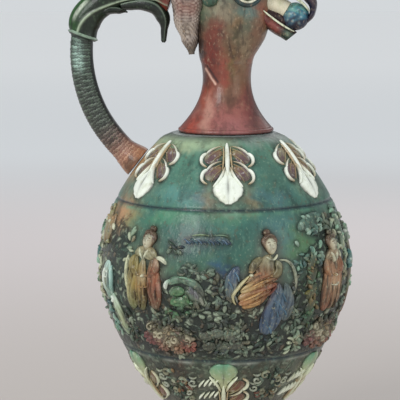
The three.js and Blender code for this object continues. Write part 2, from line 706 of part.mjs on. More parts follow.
// Palmettes hang in pairs on both sides of the beak, the last pair beside the handle.
const pairs = [0.5, 1.5, 2.5].flatMap((steps) => [-steps, steps]);
pairs.forEach((steps, i) => {
  const place = [PALMETTE_STEP * steps, SHOULDER_GROOVE + PALMETTE_RISE];
  add(`shoulder_palmette_${i + 1}`, palmette(place, 1, 1), "cream");
});
for (let i = 0; i < LOWER_PALMETTES; i++) {
  const place = [FRONT - 1 + (360 / LOWER_PALMETTES) * i, LOWER_GROOVE - PALMETTE_DROP];
  add(`lower_palmette_${i + 1}`, palmette(place, -1, 0.95), "cream");
}

// The same scene on both faces of the belly: each sprig's angle from the scene's middle, and its height above
// the lower groove.
const SCENE = [
  ["standing_figure", standingFigure, -38, 55, "olive"],
  ["seated_figure", seatedFigure, 14, 52, "amber"],
  ["attendant_figure", attendant, 56, 53, "amber"],
  ["streamer", streamer, -63, 37, "cream"],
  ["tree", tree, 83, 49, "cream"],
  ["sapling", sapling, 41, 48, "olive"],
  ["cloud_band", cloudBand, -8, 81, "blue"],
  ["ledge", ledge, -1, 15, "dark"],
  ["rosettes", rosettes, -28, 15.5, "feather"],
  ["edge_rosettes", rosettes, 56, 13, "feather"],
  ["hill", hill, -16, 48, "green"],
  ["side_leaves", sideLeaves, -72, 82, "cream"],
  ["leaf_spray", leafSpray, 44, (SHOULDER_GROOVE - LOWER_GROOVE) / ORNAMENT - SPRAY_DROP, "green"],
  ["edge_leaves", edgeLeaves, 70, 85, "green"],
];
for (let i = 0; i < SCENES; i++) {
  for (const [name, make, angle, rise, kind] of SCENE) {
    const place = [FRONT + (360 / SCENES) * i + angle, LOWER_GROOVE + rise * ORNAMENT];
    add(`${name}_${i + 1}`, make(place), kind);
  }
}

export default ewer;
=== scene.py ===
"""Looks of the phoenix-head ewer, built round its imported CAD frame. Metres, +Z up, beak towards +X."""

import math

import bpy
import numpy as np
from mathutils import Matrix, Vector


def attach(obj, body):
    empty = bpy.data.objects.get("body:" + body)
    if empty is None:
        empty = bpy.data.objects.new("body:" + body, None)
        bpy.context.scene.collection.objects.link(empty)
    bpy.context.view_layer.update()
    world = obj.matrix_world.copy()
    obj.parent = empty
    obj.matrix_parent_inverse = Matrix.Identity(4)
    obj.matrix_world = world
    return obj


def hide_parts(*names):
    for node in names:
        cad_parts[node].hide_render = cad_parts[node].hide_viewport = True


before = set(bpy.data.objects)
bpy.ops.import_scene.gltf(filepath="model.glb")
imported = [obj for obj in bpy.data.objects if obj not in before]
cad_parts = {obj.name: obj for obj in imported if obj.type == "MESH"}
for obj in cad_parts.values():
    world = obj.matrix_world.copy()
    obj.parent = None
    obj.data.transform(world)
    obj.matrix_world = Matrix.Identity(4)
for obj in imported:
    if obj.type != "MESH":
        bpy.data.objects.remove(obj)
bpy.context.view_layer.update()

MM = 0.001

# Sizes in millimetres, as in the CAD source
BELLY_RADIUS = 87
BELLY_EQUATOR = 166
BOWL_REACH = 141.5
BOWL_POWER = 1.83
SHOULDER_REACH = 126.5
SHOULDER_POWER = 2
BELLY_FLOOR = 47
BELLY_TOP = 255.5
SHOULDER_LIP = 3.2
SHOULDER_FLAT = 35
SHOULDER_GROOVE = 213.5
LOWER_GROOVE = 113
FOOT_RADIUS = 40
FOOT_RIM = 7
NECK_WAIST = 16.7
NECK_WAIST_HEIGHT = 296
NECK_TOP = 306
NECK_TOP_RADIUS = 17.7
FLANGE_SHIFT = 1.2
NECK_LEAN = 1.8
FLANGE = 33.2
FLANGE_THICK = 3.2
BORE = 10.5
WALL = 5
HEAD_TOP = 376
MOUTH_RIM = 392
MOUTH_RADIUS = 19
CREST_LOBES = 8
FRONT = -85
PALMETTE_STEP = 55.8
PALMETTE_HEIGHT = 237
LOWER_PALMETTES = 6
LOWER_PALMETTE_HEIGHT = 92
SCENES = 2

# The slip's thickness, half the gap between the bowls, how near an edge its last ring lies, the bore under
# the neck, and the floor's thickness
LUTE = 0.3
BOWL_GAP = 0.02
EDGE = 0.05
SHOULDER_BORE = 16.2
FLOOR = 8
TUFT_LENGTH = 55
TUFT_PITCH = 2.1
STEM_RINGS = (46, 19)

random = np.random.default_rng(7)


def rgb(red, green, blue):
    """A linear colour from screen values of 0 to 255."""
    share = np.array([red, green, blue]) / 255
    return np.where(share <= 0.04045, share / 12.92, ((share + 0.055) / 1.055) ** 2.4)


CREAM = rgb(232, 238, 208)
WHITE = rgb(244, 250, 236)
BROWN = rgb(116, 70, 50)
RED = rgb(150, 66, 42)
GREEN = rgb(78, 122, 84)
MINT = rgb(150, 200, 168)
TEAL = rgb(70, 128, 124)
NAVY = rgb(38, 48, 74)
OLIVE = rgb(142, 134, 62)
MAUVE = rgb(158, 124, 116)
DARK = rgb(48, 60, 52)
BLACK = rgb(24, 28, 26)
TAN = rgb(168, 134, 92)


# Surfaces


def clamp(values):
    """Values held between 0 and 1."""
    return np.clip(values, 0, 1)


def hump(x):
    """A bell that is 1 at 0: exp(-x^2)."""
    return np.exp(-(x**2))


def full_turn(count):
    """Angles spread evenly round a full turn, in radians."""
    return np.linspace(0, 2 * math.pi, count, endpoint=False)


def from_top(angle):
    """The angle from a rod's top, 0 to pi, the same on both of its sides."""
    return np.abs((angle + math.pi) % (2 * math.pi) - math.pi)


def round_axis(radius, angle, z):
    """Points at a radius and an angle round +Z, at height z."""
    return np.stack([radius * np.cos(angle), radius * np.sin(angle), z], axis=-1)


def placed(x, y, z, turn, centre):
    """Points turned about +Z by the angle turn, then moved to the centre."""
    c, s = math.cos(turn), math.sin(turn)
    return np.stack([x * c - y * s, x * s + y * c, z], axis=-1) + np.array(centre)


def blend(a, b, weight):
    """Colours a and b mixed by weight, 0 to 1, one weight per point."""
    weight = clamp(weight)[..., None]
    return a * (1 - weight) + b * weight


def smooth_line(points, count):
    """Points spread evenly along the smooth curve through the given ones: a cubic between each two
    neighbours, with the slope at each point taken from the points on both sides."""
    points = np.array(points, dtype=float)
    knots = np.concatenate([[0], np.cumsum(np.linalg.norm(np.diff(points, axis=0), axis=1))])
    slopes = np.gradient(points, knots, axis=0, edge_order=2 if len(points) > 2 else 1)

    def at(t):
        i = np.clip(np.searchsorted(knots, t, side="right") - 1, 0, len(knots) - 2)
        span = (knots[i + 1] - knots[i])[:, None]
        x = (t - knots[i])[:, None] / span
        return (
            (2 * x**3 - 3 * x**2 + 1) * points[i]
            + (x**3 - 2 * x**2 + x) * span * slopes[i]
            + (3 * x**2 - 2 * x**3) * points[i + 1]
            + (x**3 - x**2) * span * slopes[i + 1]
        )

    fine = np.linspace(0, knots[-1], 8 * count)
    walked = np.concatenate([[0], np.cumsum(np.linalg.norm(np.diff(at(fine), axis=0), axis=1))])
    return at(np.interp(np.linspace(0, walked[-1], count), walked, fine))


def directions(line):
    """The unit direction of travel at each point of a line."""
    along = np.gradient(line, axis=0)
    return along / np.linalg.norm(along, axis=1)[:, None]


def eased(stops, t):
    """Values at the shares t from rows of [share, value, ...], eased between rows as 3x^2 - 2x^3."""
    stops = np.array(stops, dtype=float)
    i = np.clip(np.searchsorted(stops[:, 0], t, side="right") - 1, 0, len(stops) - 2)
    x = clamp((t - stops[i, 0]) / (stops[i + 1, 0] - stops[i, 0]))
    x = (3 * x**2 - 2 * x**3)[..., None]
    return stops[i, 1:] * (1 - x) + stops[i + 1, 1:] * x


class Shape:
    """Vertices in millimetres, faces, and one colour and one relief value per vertex."""

    def __init__(self, grid, colour, relief=None, closed=False):
        """grid is rows of points by points round each row, by 3. Rows are closed round. Unless closed, the
        first and the last row are each filled with a fan to their centre. relief runs from 0 in hollows to
        1 on tops."""
        rows, around = grid.shape[:2]
        index = np.arange(rows * around).reshape(rows, around)
        low = index if closed else index[:-1]
        high = np.roll(index, -1, axis=0) if closed else index[1:]
        quads = np.stack(
            [low, np.roll(low, -1, axis=1), np.roll(high, -1, axis=1), high], axis=-1
        ).reshape(-1, 4)
        self.vertices = grid.reshape(-1, 3)
        triangles = np.zeros((0, 3), dtype=int)
        if not closed:
            hubs = np.array([grid[0].mean(axis=0), grid[-1].mean(axis=0)])
            first, last = index[0], index[-1]
            start = np.stack([np.full(around, rows * around), np.roll(first, -1), first], axis=-1)
            end = np.stack([np.full(around, rows * around + 1), last, np.roll(last, -1)], axis=-1)
            self.vertices = np.concatenate([self.vertices, hubs])
            triangles = np.concatenate([start, end])
        self.quads, self.triangles = quads, triangles
        count = rows * around
        colour = np.broadcast_to(colour, (rows, around, 3)).reshape(count, 3)
        relief = np.broadcast_to(0.8 if relief is None else relief, (rows, around)).reshape(count)
        extra = len(self.vertices) - count
        self.colour = np.concatenate([colour, colour[[0, -1]][:extra]])
        self.relief = np.concatenate([relief, relief[[0, -1]][:extra]])
        if self.volume() < 0:
            self.quads, self.triangles = quads[:, ::-1], triangles[:, ::-1]

    def volume(self):
        """The signed volume, from a tetrahedron between the origin and each triangle."""
        v = self.vertices
        halves = np.concatenate([self.quads[:, [0, 1, 2]], self.quads[:, [0, 2, 3]], self.triangles])
        return np.einsum("ij,ij->i", v[halves[:, 0]], np.cross(v[halves[:, 1]], v[halves[:, 2]])).sum()


def piece(name, shapes, material):
    """One mesh object from shapes. It stands for the CAD node of the same name."""
    offsets = np.cumsum([0] + [len(s.vertices) for s in shapes])
    vertices = np.concatenate([s.vertices for s in shapes]) * MM
    quads = np.concatenate([s.quads + o for s, o in zip(shapes, offsets)])
    triangles = np.concatenate([s.triangles + o for s, o in zip(shapes, offsets)])
    loops = np.concatenate([quads.reshape(-1), triangles.reshape(-1)])
    starts = np.concatenate([np.arange(len(quads)) * 4, len(quads) * 4 + np.arange(len(triangles)) * 3])
    mesh = bpy.data.meshes.new(name)
    mesh.vertices.add(len(vertices))
    mesh.vertices.foreach_set("co", vertices.astype(np.float32).reshape(-1))
    mesh.loops.add(len(loops))
    mesh.loops.foreach_set("vertex_index", loops.astype(np.int32))
    mesh.polygons.add(len(starts))
    mesh.polygons.foreach_set("loop_start", starts.astype(np.int32))
    mesh.update(calc_edges=True)
    mesh.shade_smooth()
    tint = mesh.attributes.new("tint", "FLOAT_COLOR", "POINT")
    rgba = np.concatenate([np.concatenate([s.colour for s in shapes]), np.ones((len(vertices), 1))], axis=1)
    tint.data.foreach_set("color", rgba.astype(np.float32).reshape(-1))
    relief = mesh.attributes.new("relief", "FLOAT", "POINT")
    relief.data.foreach_set("value", np.concatenate([s.relief for s in shapes]).astype(np.float32))
    mesh.materials.append(material)
    obj = bpy.data.objects.new(name + "_look", mesh)
    bpy.context.scene.collection.objects.link(obj)
    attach(obj, "root")
    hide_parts(name)


def revolved(outline, paint, around, relief=None):
    """A solid of revolution: each point of the closed outline goes round +Z. paint and relief give the
    colour and the relief at each angle (degrees from +X) and height."""
    outline = np.array(outline, dtype=float)
    turn = full_turn(around)
    ring = np.stack([np.cos(turn), np.sin(turn)], axis=-1)
    height = np.repeat(outline[:, 1:], around, axis=1)
    grid = np.concatenate([outline[:, None, :1] * ring[None], height[..., None]], axis=-1)
    angle = np.degrees(turn)[None] + 0 * height
    return Shape(grid, paint(angle, height), relief and relief(angle, height), closed=True)


def rod(path, sizes, steps, around, paint, ripple=None, square=2.0, faces=(None, None)):
    """A bent tapering rod: at each share of a smooth curve in the XZ plane, an oval with the eased half
    thickness in that plane and half width across it. square above 2 makes it boxier. ripple adds to both
    half sizes and paint colours it, each as a function of share and angle. faces turns the first and the
    last ring to face a given way."""
    line = smooth_line(path, steps)
    along = directions(line)
    share = np.linspace(0, 1, steps)
    for end, way in zip((0, 1), faces):
        if way is not None:
            near = clamp(1 - np.abs(share - end) / 0.06)[:, None]
            along = along * (1 - near) + np.array(way) * near
    high, wide = eased(sizes, share).T
    angle = full_turn(around)
    extra = ripple(share[:, None], angle[None]) if ripple else np.zeros((steps, around))
    cosine, sine = (np.sign(v) * np.abs(v) ** (2 / square) for v in (np.cos(angle), np.sin(angle)))
    lift = (high[:, None] + extra) * cosine
    across = (wide[:, None] + extra) * sine
    grid = np.stack([line[:, :1] - along[:, 1:] * lift, across, line[:, 1:] + along[:, :1] * lift], axis=-1)
    peak = np.abs(extra).max()
    relief = 0.55 + 0.45 * extra / peak if peak else None
    colour = paint(share[:, None], angle[None]) if callable(paint) else paint
    return Shape(grid, colour, relief)


# A way that none of the cords runs along
CORD_SIDE = (0.0, 0.31, 0.95)


def bead_line(points, radius, colour, steps=60):
    """A thin round cord through points in space, tapering at both ends as sin(pi t)^0.3."""
    line = smooth_line(points, steps)
    along = directions(line)
    first = np.cross(along, CORD_SIDE)
    first /= np.linalg.norm(first, axis=1)[:, None]
    second = np.cross(along, first)
    size = radius * np.sin(math.pi * np.linspace(0.01, 0.99, steps)) ** 0.3
    angle = full_turn(10)
    cosine, sine = (v[None, :, None] for v in (np.cos(angle), np.sin(angle)))
    spread = cosine * first[:, None] + sine * second[:, None]
    return Shape(line[:, None] + size[:, None, None] * spread, colour, 1.0)


def ball(centre, radii, turn, paint, rows=28, around=40):
    """An ellipsoid: latitude rows by longitude, turned about +Z, then placed. paint may be a function of
    the unit directions."""
    lat = np.linspace(-math.pi / 2 + 0.02, math.pi / 2 - 0.02, rows)[:, None]
    lon = full_turn(around)[None]
    unit = np.stack([np.cos(lat) * np.cos(lon), np.cos(lat) * np.sin(lon), np.sin(lat) + 0 * lon], axis=-1)
    local = unit * radii
    colour = paint(unit) if callable(paint) else paint
    return Shape(placed(*(local[..., i] for i in range(3)), turn, centre), colour)


def ring(centre, radius, thick, turn, colour):
    """A torus standing in the XZ plane, turned about +Z."""
    a = full_turn(72)[:, None]
    b = full_turn(16)[None]
    flat = radius + thick * np.cos(b)
    x, y, z = flat * np.cos(a), thick * np.sin(b) + 0 * a, flat * np.sin(a)
    return Shape(placed(x, y, z, turn, centre), colour, 1.0, closed=True)


def belly_radius(z):
    """The belly's outer radius: R (1 - (|z - z0| / reach)^power), with its own reach and power above and
    below the widest ring."""
    away = z - BELLY_EQUATOR
    up = (np.maximum(away, 0) / SHOULDER_REACH) ** SHOULDER_POWER
    down = (np.maximum(-away, 0) / BOWL_REACH) ** BOWL_POWER
    return BELLY_RADIUS * (1 - up - down)


def grooved_radius(z):
    """The belly's radius less a rounded groove at each ring line."""
    return belly_radius(z) - 1.2 * sum(hump((z - g) / 0.8) for g in (SHOULDER_GROOVE, LOWER_GROOVE))


WALK_HEIGHTS = np.linspace(BELLY_FLOOR, BELLY_TOP, 2000)
WALK_STEPS = np.hypot(np.diff(WALK_HEIGHTS), np.diff(belly_radius(WALK_HEIGHTS)))
WALK_LENGTHS = np.concatenate([[0], np.cumsum(WALK_STEPS)])


def on_wall(place, side, up, out):
    """Points on the belly: from an angle (degrees) and a height, side millimetres round the wall, up
    millimetres along it, and out millimetres off it."""
    angle, height = place
    start = np.interp(height, WALK_HEIGHTS, WALK_LENGTHS)
    z = np.interp(start + up, WALK_LENGTHS, WALK_HEIGHTS)
    slope = np.arctan(belly_radius(z + 0.5) - belly_radius(z - 0.5))
    r = belly_radius(z) + out * np.cos(slope)
    turn = math.radians(angle) + side / belly_radius(z)
    return round_axis(r, turn, z - out * np.sin(slope))


class Sprig:
    """Relief laid on the belly about one place, an angle (degrees from +X) and a height."""

    def __init__(self, angle, height, size=1.0, way=1):
        """size scales every path, and way is -1 to turn the sprig upside down."""
        self.place = (angle, height)
        self.size = size
        self.way = way
        self.shapes = []

    def lobe(
        self, path, width, high, colour, full=0.5, blunt=0.4, folds=0, inner=None, edge=None, profile=None
    ):
        """A domed lobe along a bent line. Its half width swells as sin(pi t^k)^blunt, widest at the share
        full, or follows profile, rows of [share, share of the width], and its section is a flattened half
        oval. folds lengthwise creases that sway a little darken its top. With an inner colour the section
        is dished, with a raised rim. edge colours the foot of the dome. colour may be a function of the
        share of the lobe's length."""
        line = smooth_line(np.array(path, dtype=float) * (self.size, self.size * self.way), 12)
        length = np.linalg.norm(np.diff(line, axis=0), axis=1).sum()
        steps = int(np.clip(length * 1.5, 9, 34))
        arch = int(np.clip(width * 3.4, 9, 27)) | 1
        line = smooth_line(line, steps)
        along = directions(line)
        t = np.linspace(0.004, 0.996, steps)
        swell = np.sin(math.pi * t ** (math.log(0.5) / math.log(full))) ** blunt
        if profile:
            swell = eased(profile, t)[:, 0]
        a = np.linspace(0, math.pi, arch)
        across = np.concatenate([np.cos(a), [-0.5, 0, 0.5]])
        dome = np.concatenate([np.sin(a) ** (0.5 if folds > 1 else 0.7), [0, 0, 0]])
        top = dome.copy()
        if inner is not None:
            top = dome * (0.5 + 0.5 * clamp(np.abs(across) / 0.72) ** 3)
        sway = np.zeros((steps, 1))
        if folds > 1:
            sway = 0.3 * np.sin(5 * t + line[0, 0] + 2 * line[0, 1])[:, None]
        crease = 0.5 - 0.5 * np.cos(math.pi * folds * (across[None] + 1 + sway))
        crease = crease ** (30 if folds == 1 else 4)
        crease = crease * (0.7 + 0.3 * np.sin(9 * t + line[0, 1])[:, None])
        top = top[None] * (1 - (0.3 if folds == 1 else 0.35) * crease * (dome > 0))
        lift = -0.6 + (0.6 + high * (swell**0.7)[:, None]) * top
        reach = (width * self.size * swell)[:, None] * across[None]
        grid = on_wall(
            self.place, line[:, :1] - along[:, 1:] * reach, line[:, 1:] + along[:, :1] * reach, lift
        )
        colour = colour(t)[:, None] if callable(colour) else colour
        paint = np.broadcast_to(colour, (steps, len(across), 3))
        if inner is not None:
            paint = blend(paint, inner, np.broadcast_to(1 - (np.abs(across) / 0.62) ** 4, paint.shape[:2]))
        if edge is not None:
            paint = blend(paint, edge, np.broadcast_to((1 - dome) * 1.6, paint.shape[:2]))
        # Painted highlight: with several folds, the ridges between the creases are painted lighter
        if folds > 1:
            paint = blend(paint, paint * 0.5 + CREAM * 0.4, 0.3 * (1 - crease) ** 4 * dome)
        paint = blend(paint, paint * 0.25, 0.75 * crease)
        relief = dome * (1 - 0.55 * crease)
        self.shapes.append(Shape(grid, paint, relief))

    def leaves(self, count, spread, colours, length, width, high, centre=(0, 0)):
        """Small leaves strewn over an oval of the given half sizes, each bent and turned at random."""
        for _ in range(count):
            reach, turn = math.sqrt(random.random()), random.random() * 2 * math.pi
            u = centre[0] + spread[0] * reach * math.cos(turn)
            v = centre[1] + spread[1] * reach * math.sin(turn)
            heading = turn + random.normal() * 0.7
            half = length * (0.35 + 0.3 * random.random())
            bend = half * 0.5 * random.normal()
            step = half * np.array([math.cos(heading), math.sin(heading)])
            sideways = bend * np.array([-math.sin(heading), math.cos(heading)])
            path = [(u, v) - step, (u, v) + sideways * 0.5, (u, v) + step]
            colour = colours[random.integers(len(colours))]
            self.lobe(
                path, width * (0.7 + 0.5 * random.random()), high * (0.7 + 0.5 * random.random()), colour,
                0.6, 0.5
            )

    def flower(self, u, v, size, petals, outer, inner, high):
        """A round flower: a ring of dished petals about a raised heart."""
        for i in range(petals):
            a = 2 * math.pi * (i + 0.25) / petals
            path = [
                (u + 0.2 * size * math.cos(a), v + 0.2 * size * math.sin(a)),
                (u + size * math.cos(a), v + size * math.sin(a))
            ]
            self.lobe(path, size * 2.1 / petals, high, outer, 0.62, 0.5, inner=inner)
        self.lobe([(u - size * 0.28, v), (u + size * 0.28, v)], size * 0.26, high + 0.6, outer, 0.5, 0.5)

    def curl(self, u, v, size, turn, colour, hand, width, high):
        """A rolled tendril: one and a quarter turns of a spiral that tightens to its centre."""
        t = np.linspace(0, 1, 9)
        a = turn + hand * t * 2.5 * math.pi
        r = size * (1 - 0.8 * t)
        self.lobe(np.stack([u + r * np.cos(a), v + r * np.sin(a)], axis=-1), width, high, colour, 0.4, 0.3)

    def head(self, u, v, size, turn, knot):
        """A calm, general head: hair behind, an oval face, brows, closed eyes, nose, lips and a hair
        knot."""
        c, s = math.cos(turn), math.sin(turn)

        def at(x, y):
            return (u + size * (x * c - y * s), v + size * (x * s + y * c))

        hair = BROWN * 0.55
        self.lobe([at(0, -3.2), at(0, 6.6)], 4.9 * size, 3.4, hair, 0.55, 0.45, folds=4)
        self.lobe([at(0, -5.6), at(0, 4.4)], 3.7 * size, 4.9, CREAM, 0.55, 0.5, edge=TAN)
        self.lobe([at(-3.4, 3.2), at(0, 5.3), at(3.4, 3.2)], 1.3 * size, 4.9, hair, folds=2)
        for side in (-1, 1):
            self.lobe(
                [at(side * 0.5, 1.3), at(side * 1.5, 1.6), at(side * 2.4, 1.1)], 0.24 * size, 5.35, BROWN
            )
            self.lobe(
                [at(side * 0.7, 0.4), at(side * 1.4, 0.15), at(side * 2.1, 0.35)], 0.26 * size, 5.3, BROWN
            )
        self.lobe([at(0, 1.2), at(0, -1.1)], 0.5 * size, 5.9, CREAM, 0.7, 0.5)
        self.lobe([at(-0.8, -2.3), at(0, -2.45), at(0.8, -2.3)], 0.36 * size, 5.3, RED, 0.5, 0.5)
        self.lobe([at(0, 5.4), at(knot, 9.4)], 2.3 * size, 3.6, hair, 0.55, 0.5, folds=2)


# Paint


def wobbled(u, v, size):
    """u and v pushed about by slow waves of the given size, so that patches of paint run unevenly."""
    du = np.sin(0.31 * v + 1.3) + 0.7 * np.sin(0.73 * v - 0.21 * u) + 0.5 * np.sin(1.7 * v + 0.6 * u)
    dv = np.sin(0.27 * u + 0.4) + 0.7 * np.sin(0.61 * u + 0.33 * v) + 0.5 * np.sin(1.5 * u - 0.4 * v)
    return u + size * du, v + size * dv


def patched(base, u, v, patches):
    """base painted over with soft ovals, weight exp(-(distance squared)^1.5), from rows of [u, v, half size
    in u, half size in v, colour, amount]."""
    for cu, cv, su, sv, colour, amount in patches:
        away = ((u - cu) / su) ** 2 + ((v - cv) / sv) ** 2
        base = blend(base, colour, amount * np.exp(-(away**1.5)))
    return base


def banded(v, stops):
    """Colours by v, such as a height, from rows of (v, colour), linear between rows."""
    heights = [h for h, _ in stops]
    return np.stack([np.interp(v, heights, [c[i] for _, c in stops]) for i in range(3)], axis=-1)


def line_weight(u, v, a, b, width):
    """1 on the straight line from a to b, falling off as exp(-(distance / width)^2)."""
    a, b = np.array(a, dtype=float), np.array(b, dtype=float)
    along = b - a
    t = clamp(((u - a[0]) * along[0] + (v - a[1]) * along[1]) / (along @ along))
    return np.exp(-(((u - a[0] - t * along[0]) ** 2 + (v - a[1] - t * along[1]) ** 2) / width**2))


def ring_dots(rows, across):
    """Rows of arched scales, every other row set over by half a scale, each a little stronger or weaker and
    out of line. The height is exp(-((d - 0.36) / 0.15)^2) + 0.6 exp(-(d / 0.13)^2) at a distance d from a
    scale's middle, the lower part of each ring fading away."""

    def height(share, angle):
        row = share * rows + 0.16 * np.sin(3 * angle + 40 * share)
        along = row % 1 - 0.5
        shift = 0.5 * (np.floor(row) % 2) + 0.12 * np.sin(2.3 * np.floor(row))
        column = angle * across / (2 * math.pi) + shift
        d = np.hypot(along, column % 1 - 0.5)
        strength = 0.66 + 0.34 * np.sin(3.1 * np.floor(row) + 5.3 * np.floor(column))
        ring = hump((d - 0.36) / 0.15) * np.clip(0.8 + 1.2 * along, 0.2, 1)
        return strength * (ring + 0.6 * hump(d / 0.13))

    return height


def ridges(angles, width=0.11):
    """Raised lines along a rod, each at an angle given as [at the start, in the middle, at the end], on
    both sides of the rod."""

    def height(share, angle):
        turned = from_top(angle)
        total = 0
        for start, middle, end in angles:
            slope, bend = 4 * middle - 3 * start - end, 2 * start + 2 * end - 4 * middle
            at = start + slope * share + bend * share**2
            total = total + hump((turned - at) / width)
        return clamp(total)

    return height


# Glazes


class Value:
    """A shader socket that takes part in Python expressions: each operator adds a Math node."""

    def __init__(self, glaze, socket):
        self.glaze = glaze
        self.socket = socket

    def _math(self, operation, a, b):
        return self.glaze.node("Math", {0: a, 1: b}, operation=operation)

    def __add__(self, other):
        return self._math("ADD", self, other)

    def __radd__(self, other):
        return self._math("ADD", other, self)

    def __sub__(self, other):
        return self._math("SUBTRACT", self, other)

    def __rsub__(self, other):
        return self._math("SUBTRACT", other, self)

    def __mul__(self, other):
        return self._math("MULTIPLY", self, other)

    def __rmul__(self, other):
        return self._math("MULTIPLY", other, self)

    def step(self, low, high):
        """0 below low, 1 above high, smooth between."""
        inputs = {"Value": self, "From Min": low, "From Max": high}
        return self.glaze.node("MapRange", inputs, interpolation_type="SMOOTHSTEP")


class Glaze:
    """A glossy glaze. Its colour, roughness and bump come from expressions on object coordinates and on the
    tint and relief that each vertex carries."""

    def __init__(self, name, coat):
        self.material = bpy.data.materials.new(name)
        self.material.use_nodes = True
        self.tree = self.material.node_tree
        self.shader = self.tree.nodes["Principled BSDF"]
        self.shader.inputs["IOR"].default_value = 1.45
        self.shader.inputs["Coat Weight"].default_value = coat
        self.point = self.node("TexCoord", output="Object")
        self.tint = self.node("Attribute", output="Color", attribute_name="tint")
        self.relief = self.node("Attribute", output="Fac", attribute_name="relief")

    def node(self, kind, inputs=None, output=0, **settings):
        """A new node of any kind, with its settings and its inputs, as a Value on one of its outputs."""
        node = self.tree.nodes.new("ShaderNode" + kind)
        for key, value in settings.items():
            setattr(node, key, value)
        for key, value in (inputs or {}).items():
            if isinstance(value, Value):
                self.tree.links.new(value.socket, node.inputs[key])
            elif isinstance(value, np.ndarray):
                node.inputs[key].default_value = (*value.tolist(), 1.0)
            else:
                node.inputs[key].default_value = value
        return Value(self, node.outputs[output])

    def spread(self, size, stretch=1.0):
        """The place in units of size millimetres, stretched upwards."""
        scale = (1000 / size, 1000 / size, 1000 / size / stretch)
        return self.node("VectorMath", {0: self.point, 1: scale}, operation="MULTIPLY")

    def noise(self, size, stretch, seed=0.0):
        """Cloudy noise between about 0.2 and 0.8, size millimetres across and stretched upwards."""
        inputs = {
            "Vector": self.spread(size, stretch), "W": seed, "Scale": 1.0, "Detail": 4, "Roughness": 0.55
        }
        return self.node("TexNoise", inputs, noise_dimensions="4D")

    def mix(self, factor, a, b):
        """Colour a where factor is 0 and b where it is 1."""
        return self.node("Mix", {0: factor, 6: a, 7: b}, output=2, data_type="RGBA")

    def set(self, socket, value):
        """The shader reads the value at the socket of that name."""
        self.tree.links.new(value.socket, self.shader.inputs[socket])

    def bump(self, height, distance):
        """Relief from a height of about 0 to 1, distance millimetres deep."""
        self.set(
            "Normal", self.node("Bump", {"Height": height, "Distance": distance * MM, "Strength": 1.0})
        )


def body_glaze():
    """Each vertex's own colour, with cloudy pools of deep green, streaks that run down the wall, brown
    specks and pale crazed flecks. Where relief is high the wall is crowded with small moulded leaves: cells
    bent by noise, pale on some tops and dark between."""
    g = Glaze("body_glaze", 0.1)
    cloud = g.noise(15, 1.7)
    run = g.noise(5, 5.0, seed=7.0)
    fleck = g.noise(3.0, 1.4, seed=3.0)
    fine = g.noise(1.6, 1.3, seed=13.0)
    bend = g.node("TexNoise", {"Vector": g.spread(7), "Scale": 1.0, "Detail": 2}, output="Color")
    swayed = g.node("VectorMath", {0: bend, 1: (2.6, 2.6, 2.6), 2: g.spread(4.4)}, operation="MULTIPLY_ADD")
    leaf = 1 - g.node("TexVoronoi", {"Vector": swayed, "Scale": 1.0}, output="Distance").step(0.2, 0.62)
    tone = g.node("TexVoronoi", {"Vector": swayed, "Scale": 1.0}, output="Color")
    colour = g.mix((cloud.step(0.5, 0.66)) * 0.45, g.tint, rgb(40, 62, 54))
    colour = g.mix((1 - cloud).step(0.54, 0.7) * 0.32, colour, rgb(124, 146, 112))
    colour = g.mix(run.step(0.54, 0.7) * 0.42, colour, rgb(42, 56, 52))
    colour = g.mix(run.step(0.3, 0.44) * -0.28 + 0.28, colour, rgb(112, 150, 130))
    colour = g.mix(fleck.step(0.56, 0.68) * 0.42, colour, rgb(96, 82, 62))
    colour = g.mix((1 - fleck).step(0.56, 0.68) * 0.34, colour, rgb(120, 156, 132))
    colour = g.mix(fine.step(0.58, 0.68) * 0.3, colour, rgb(160, 182, 156))
    colour = g.mix(g.relief * (1 - leaf) * 0.8, colour, rgb(28, 34, 32))
    colour = g.mix(g.relief * leaf * tone.step(0.52, 0.7) * 0.7, colour, rgb(166, 178, 154))
    colour = g.mix(g.relief * leaf * (1 - tone).step(0.6, 0.8) * 0.55, colour, rgb(120, 98, 80))
    g.set("Base Color", colour)
    g.set("Roughness", 0.2 + cloud * 0.3)
    g.bump(cloud * 0.8 + run * 0.5 + fleck * 0.4 + fine * 0.15 + g.relief * leaf * 1.4, 0.9)
    return g.material


def clay_glaze(name, grain, dark, pale, coat=0.2, runs=0.3, flecks=0.34):
    """Each vertex's own colour, mottled at the grain's size towards a dark and a pale colour, streaked by
    dark runs, flecked, and pooled dark where the relief is low."""
    g = Glaze(name, coat)
    cloud = g.noise(grain, 1.6)
    fine = g.noise(grain / 3.4, 1.5, seed=5.0)
    speck = g.noise(grain / 7, 1.2, seed=9.0)
    run = g.noise(grain * 0.5, 5.0, seed=11.0)
    colour = g.mix(cloud.step(0.5, 0.68) * 0.5, g.tint, dark)
    colour = g.mix(run.step(0.52, 0.68) * runs, colour, dark * 0.6)
    colour = g.mix((1 - fine).step(0.54, 0.7) * flecks, colour, pale)
    colour = g.mix(fine.step(0.56, 0.7) * flecks, colour, dark)
    colour = g.mix(speck.step(0.58, 0.7) * 0.35, colour, dark)
    pooled = g.mix(0.8, g.tint, rgb(30, 28, 24))
    colour = g.mix((1 - g.relief + (cloud - 0.5) * 0.6).step(0.25, 0.85), colour, pooled)
    g.set("Base Color", colour)
    g.set("Roughness", 0.2 + fine * 0.3)
    g.bump(cloud + fine * 0.5 + speck * 0.25, 0.5)
    return g.material


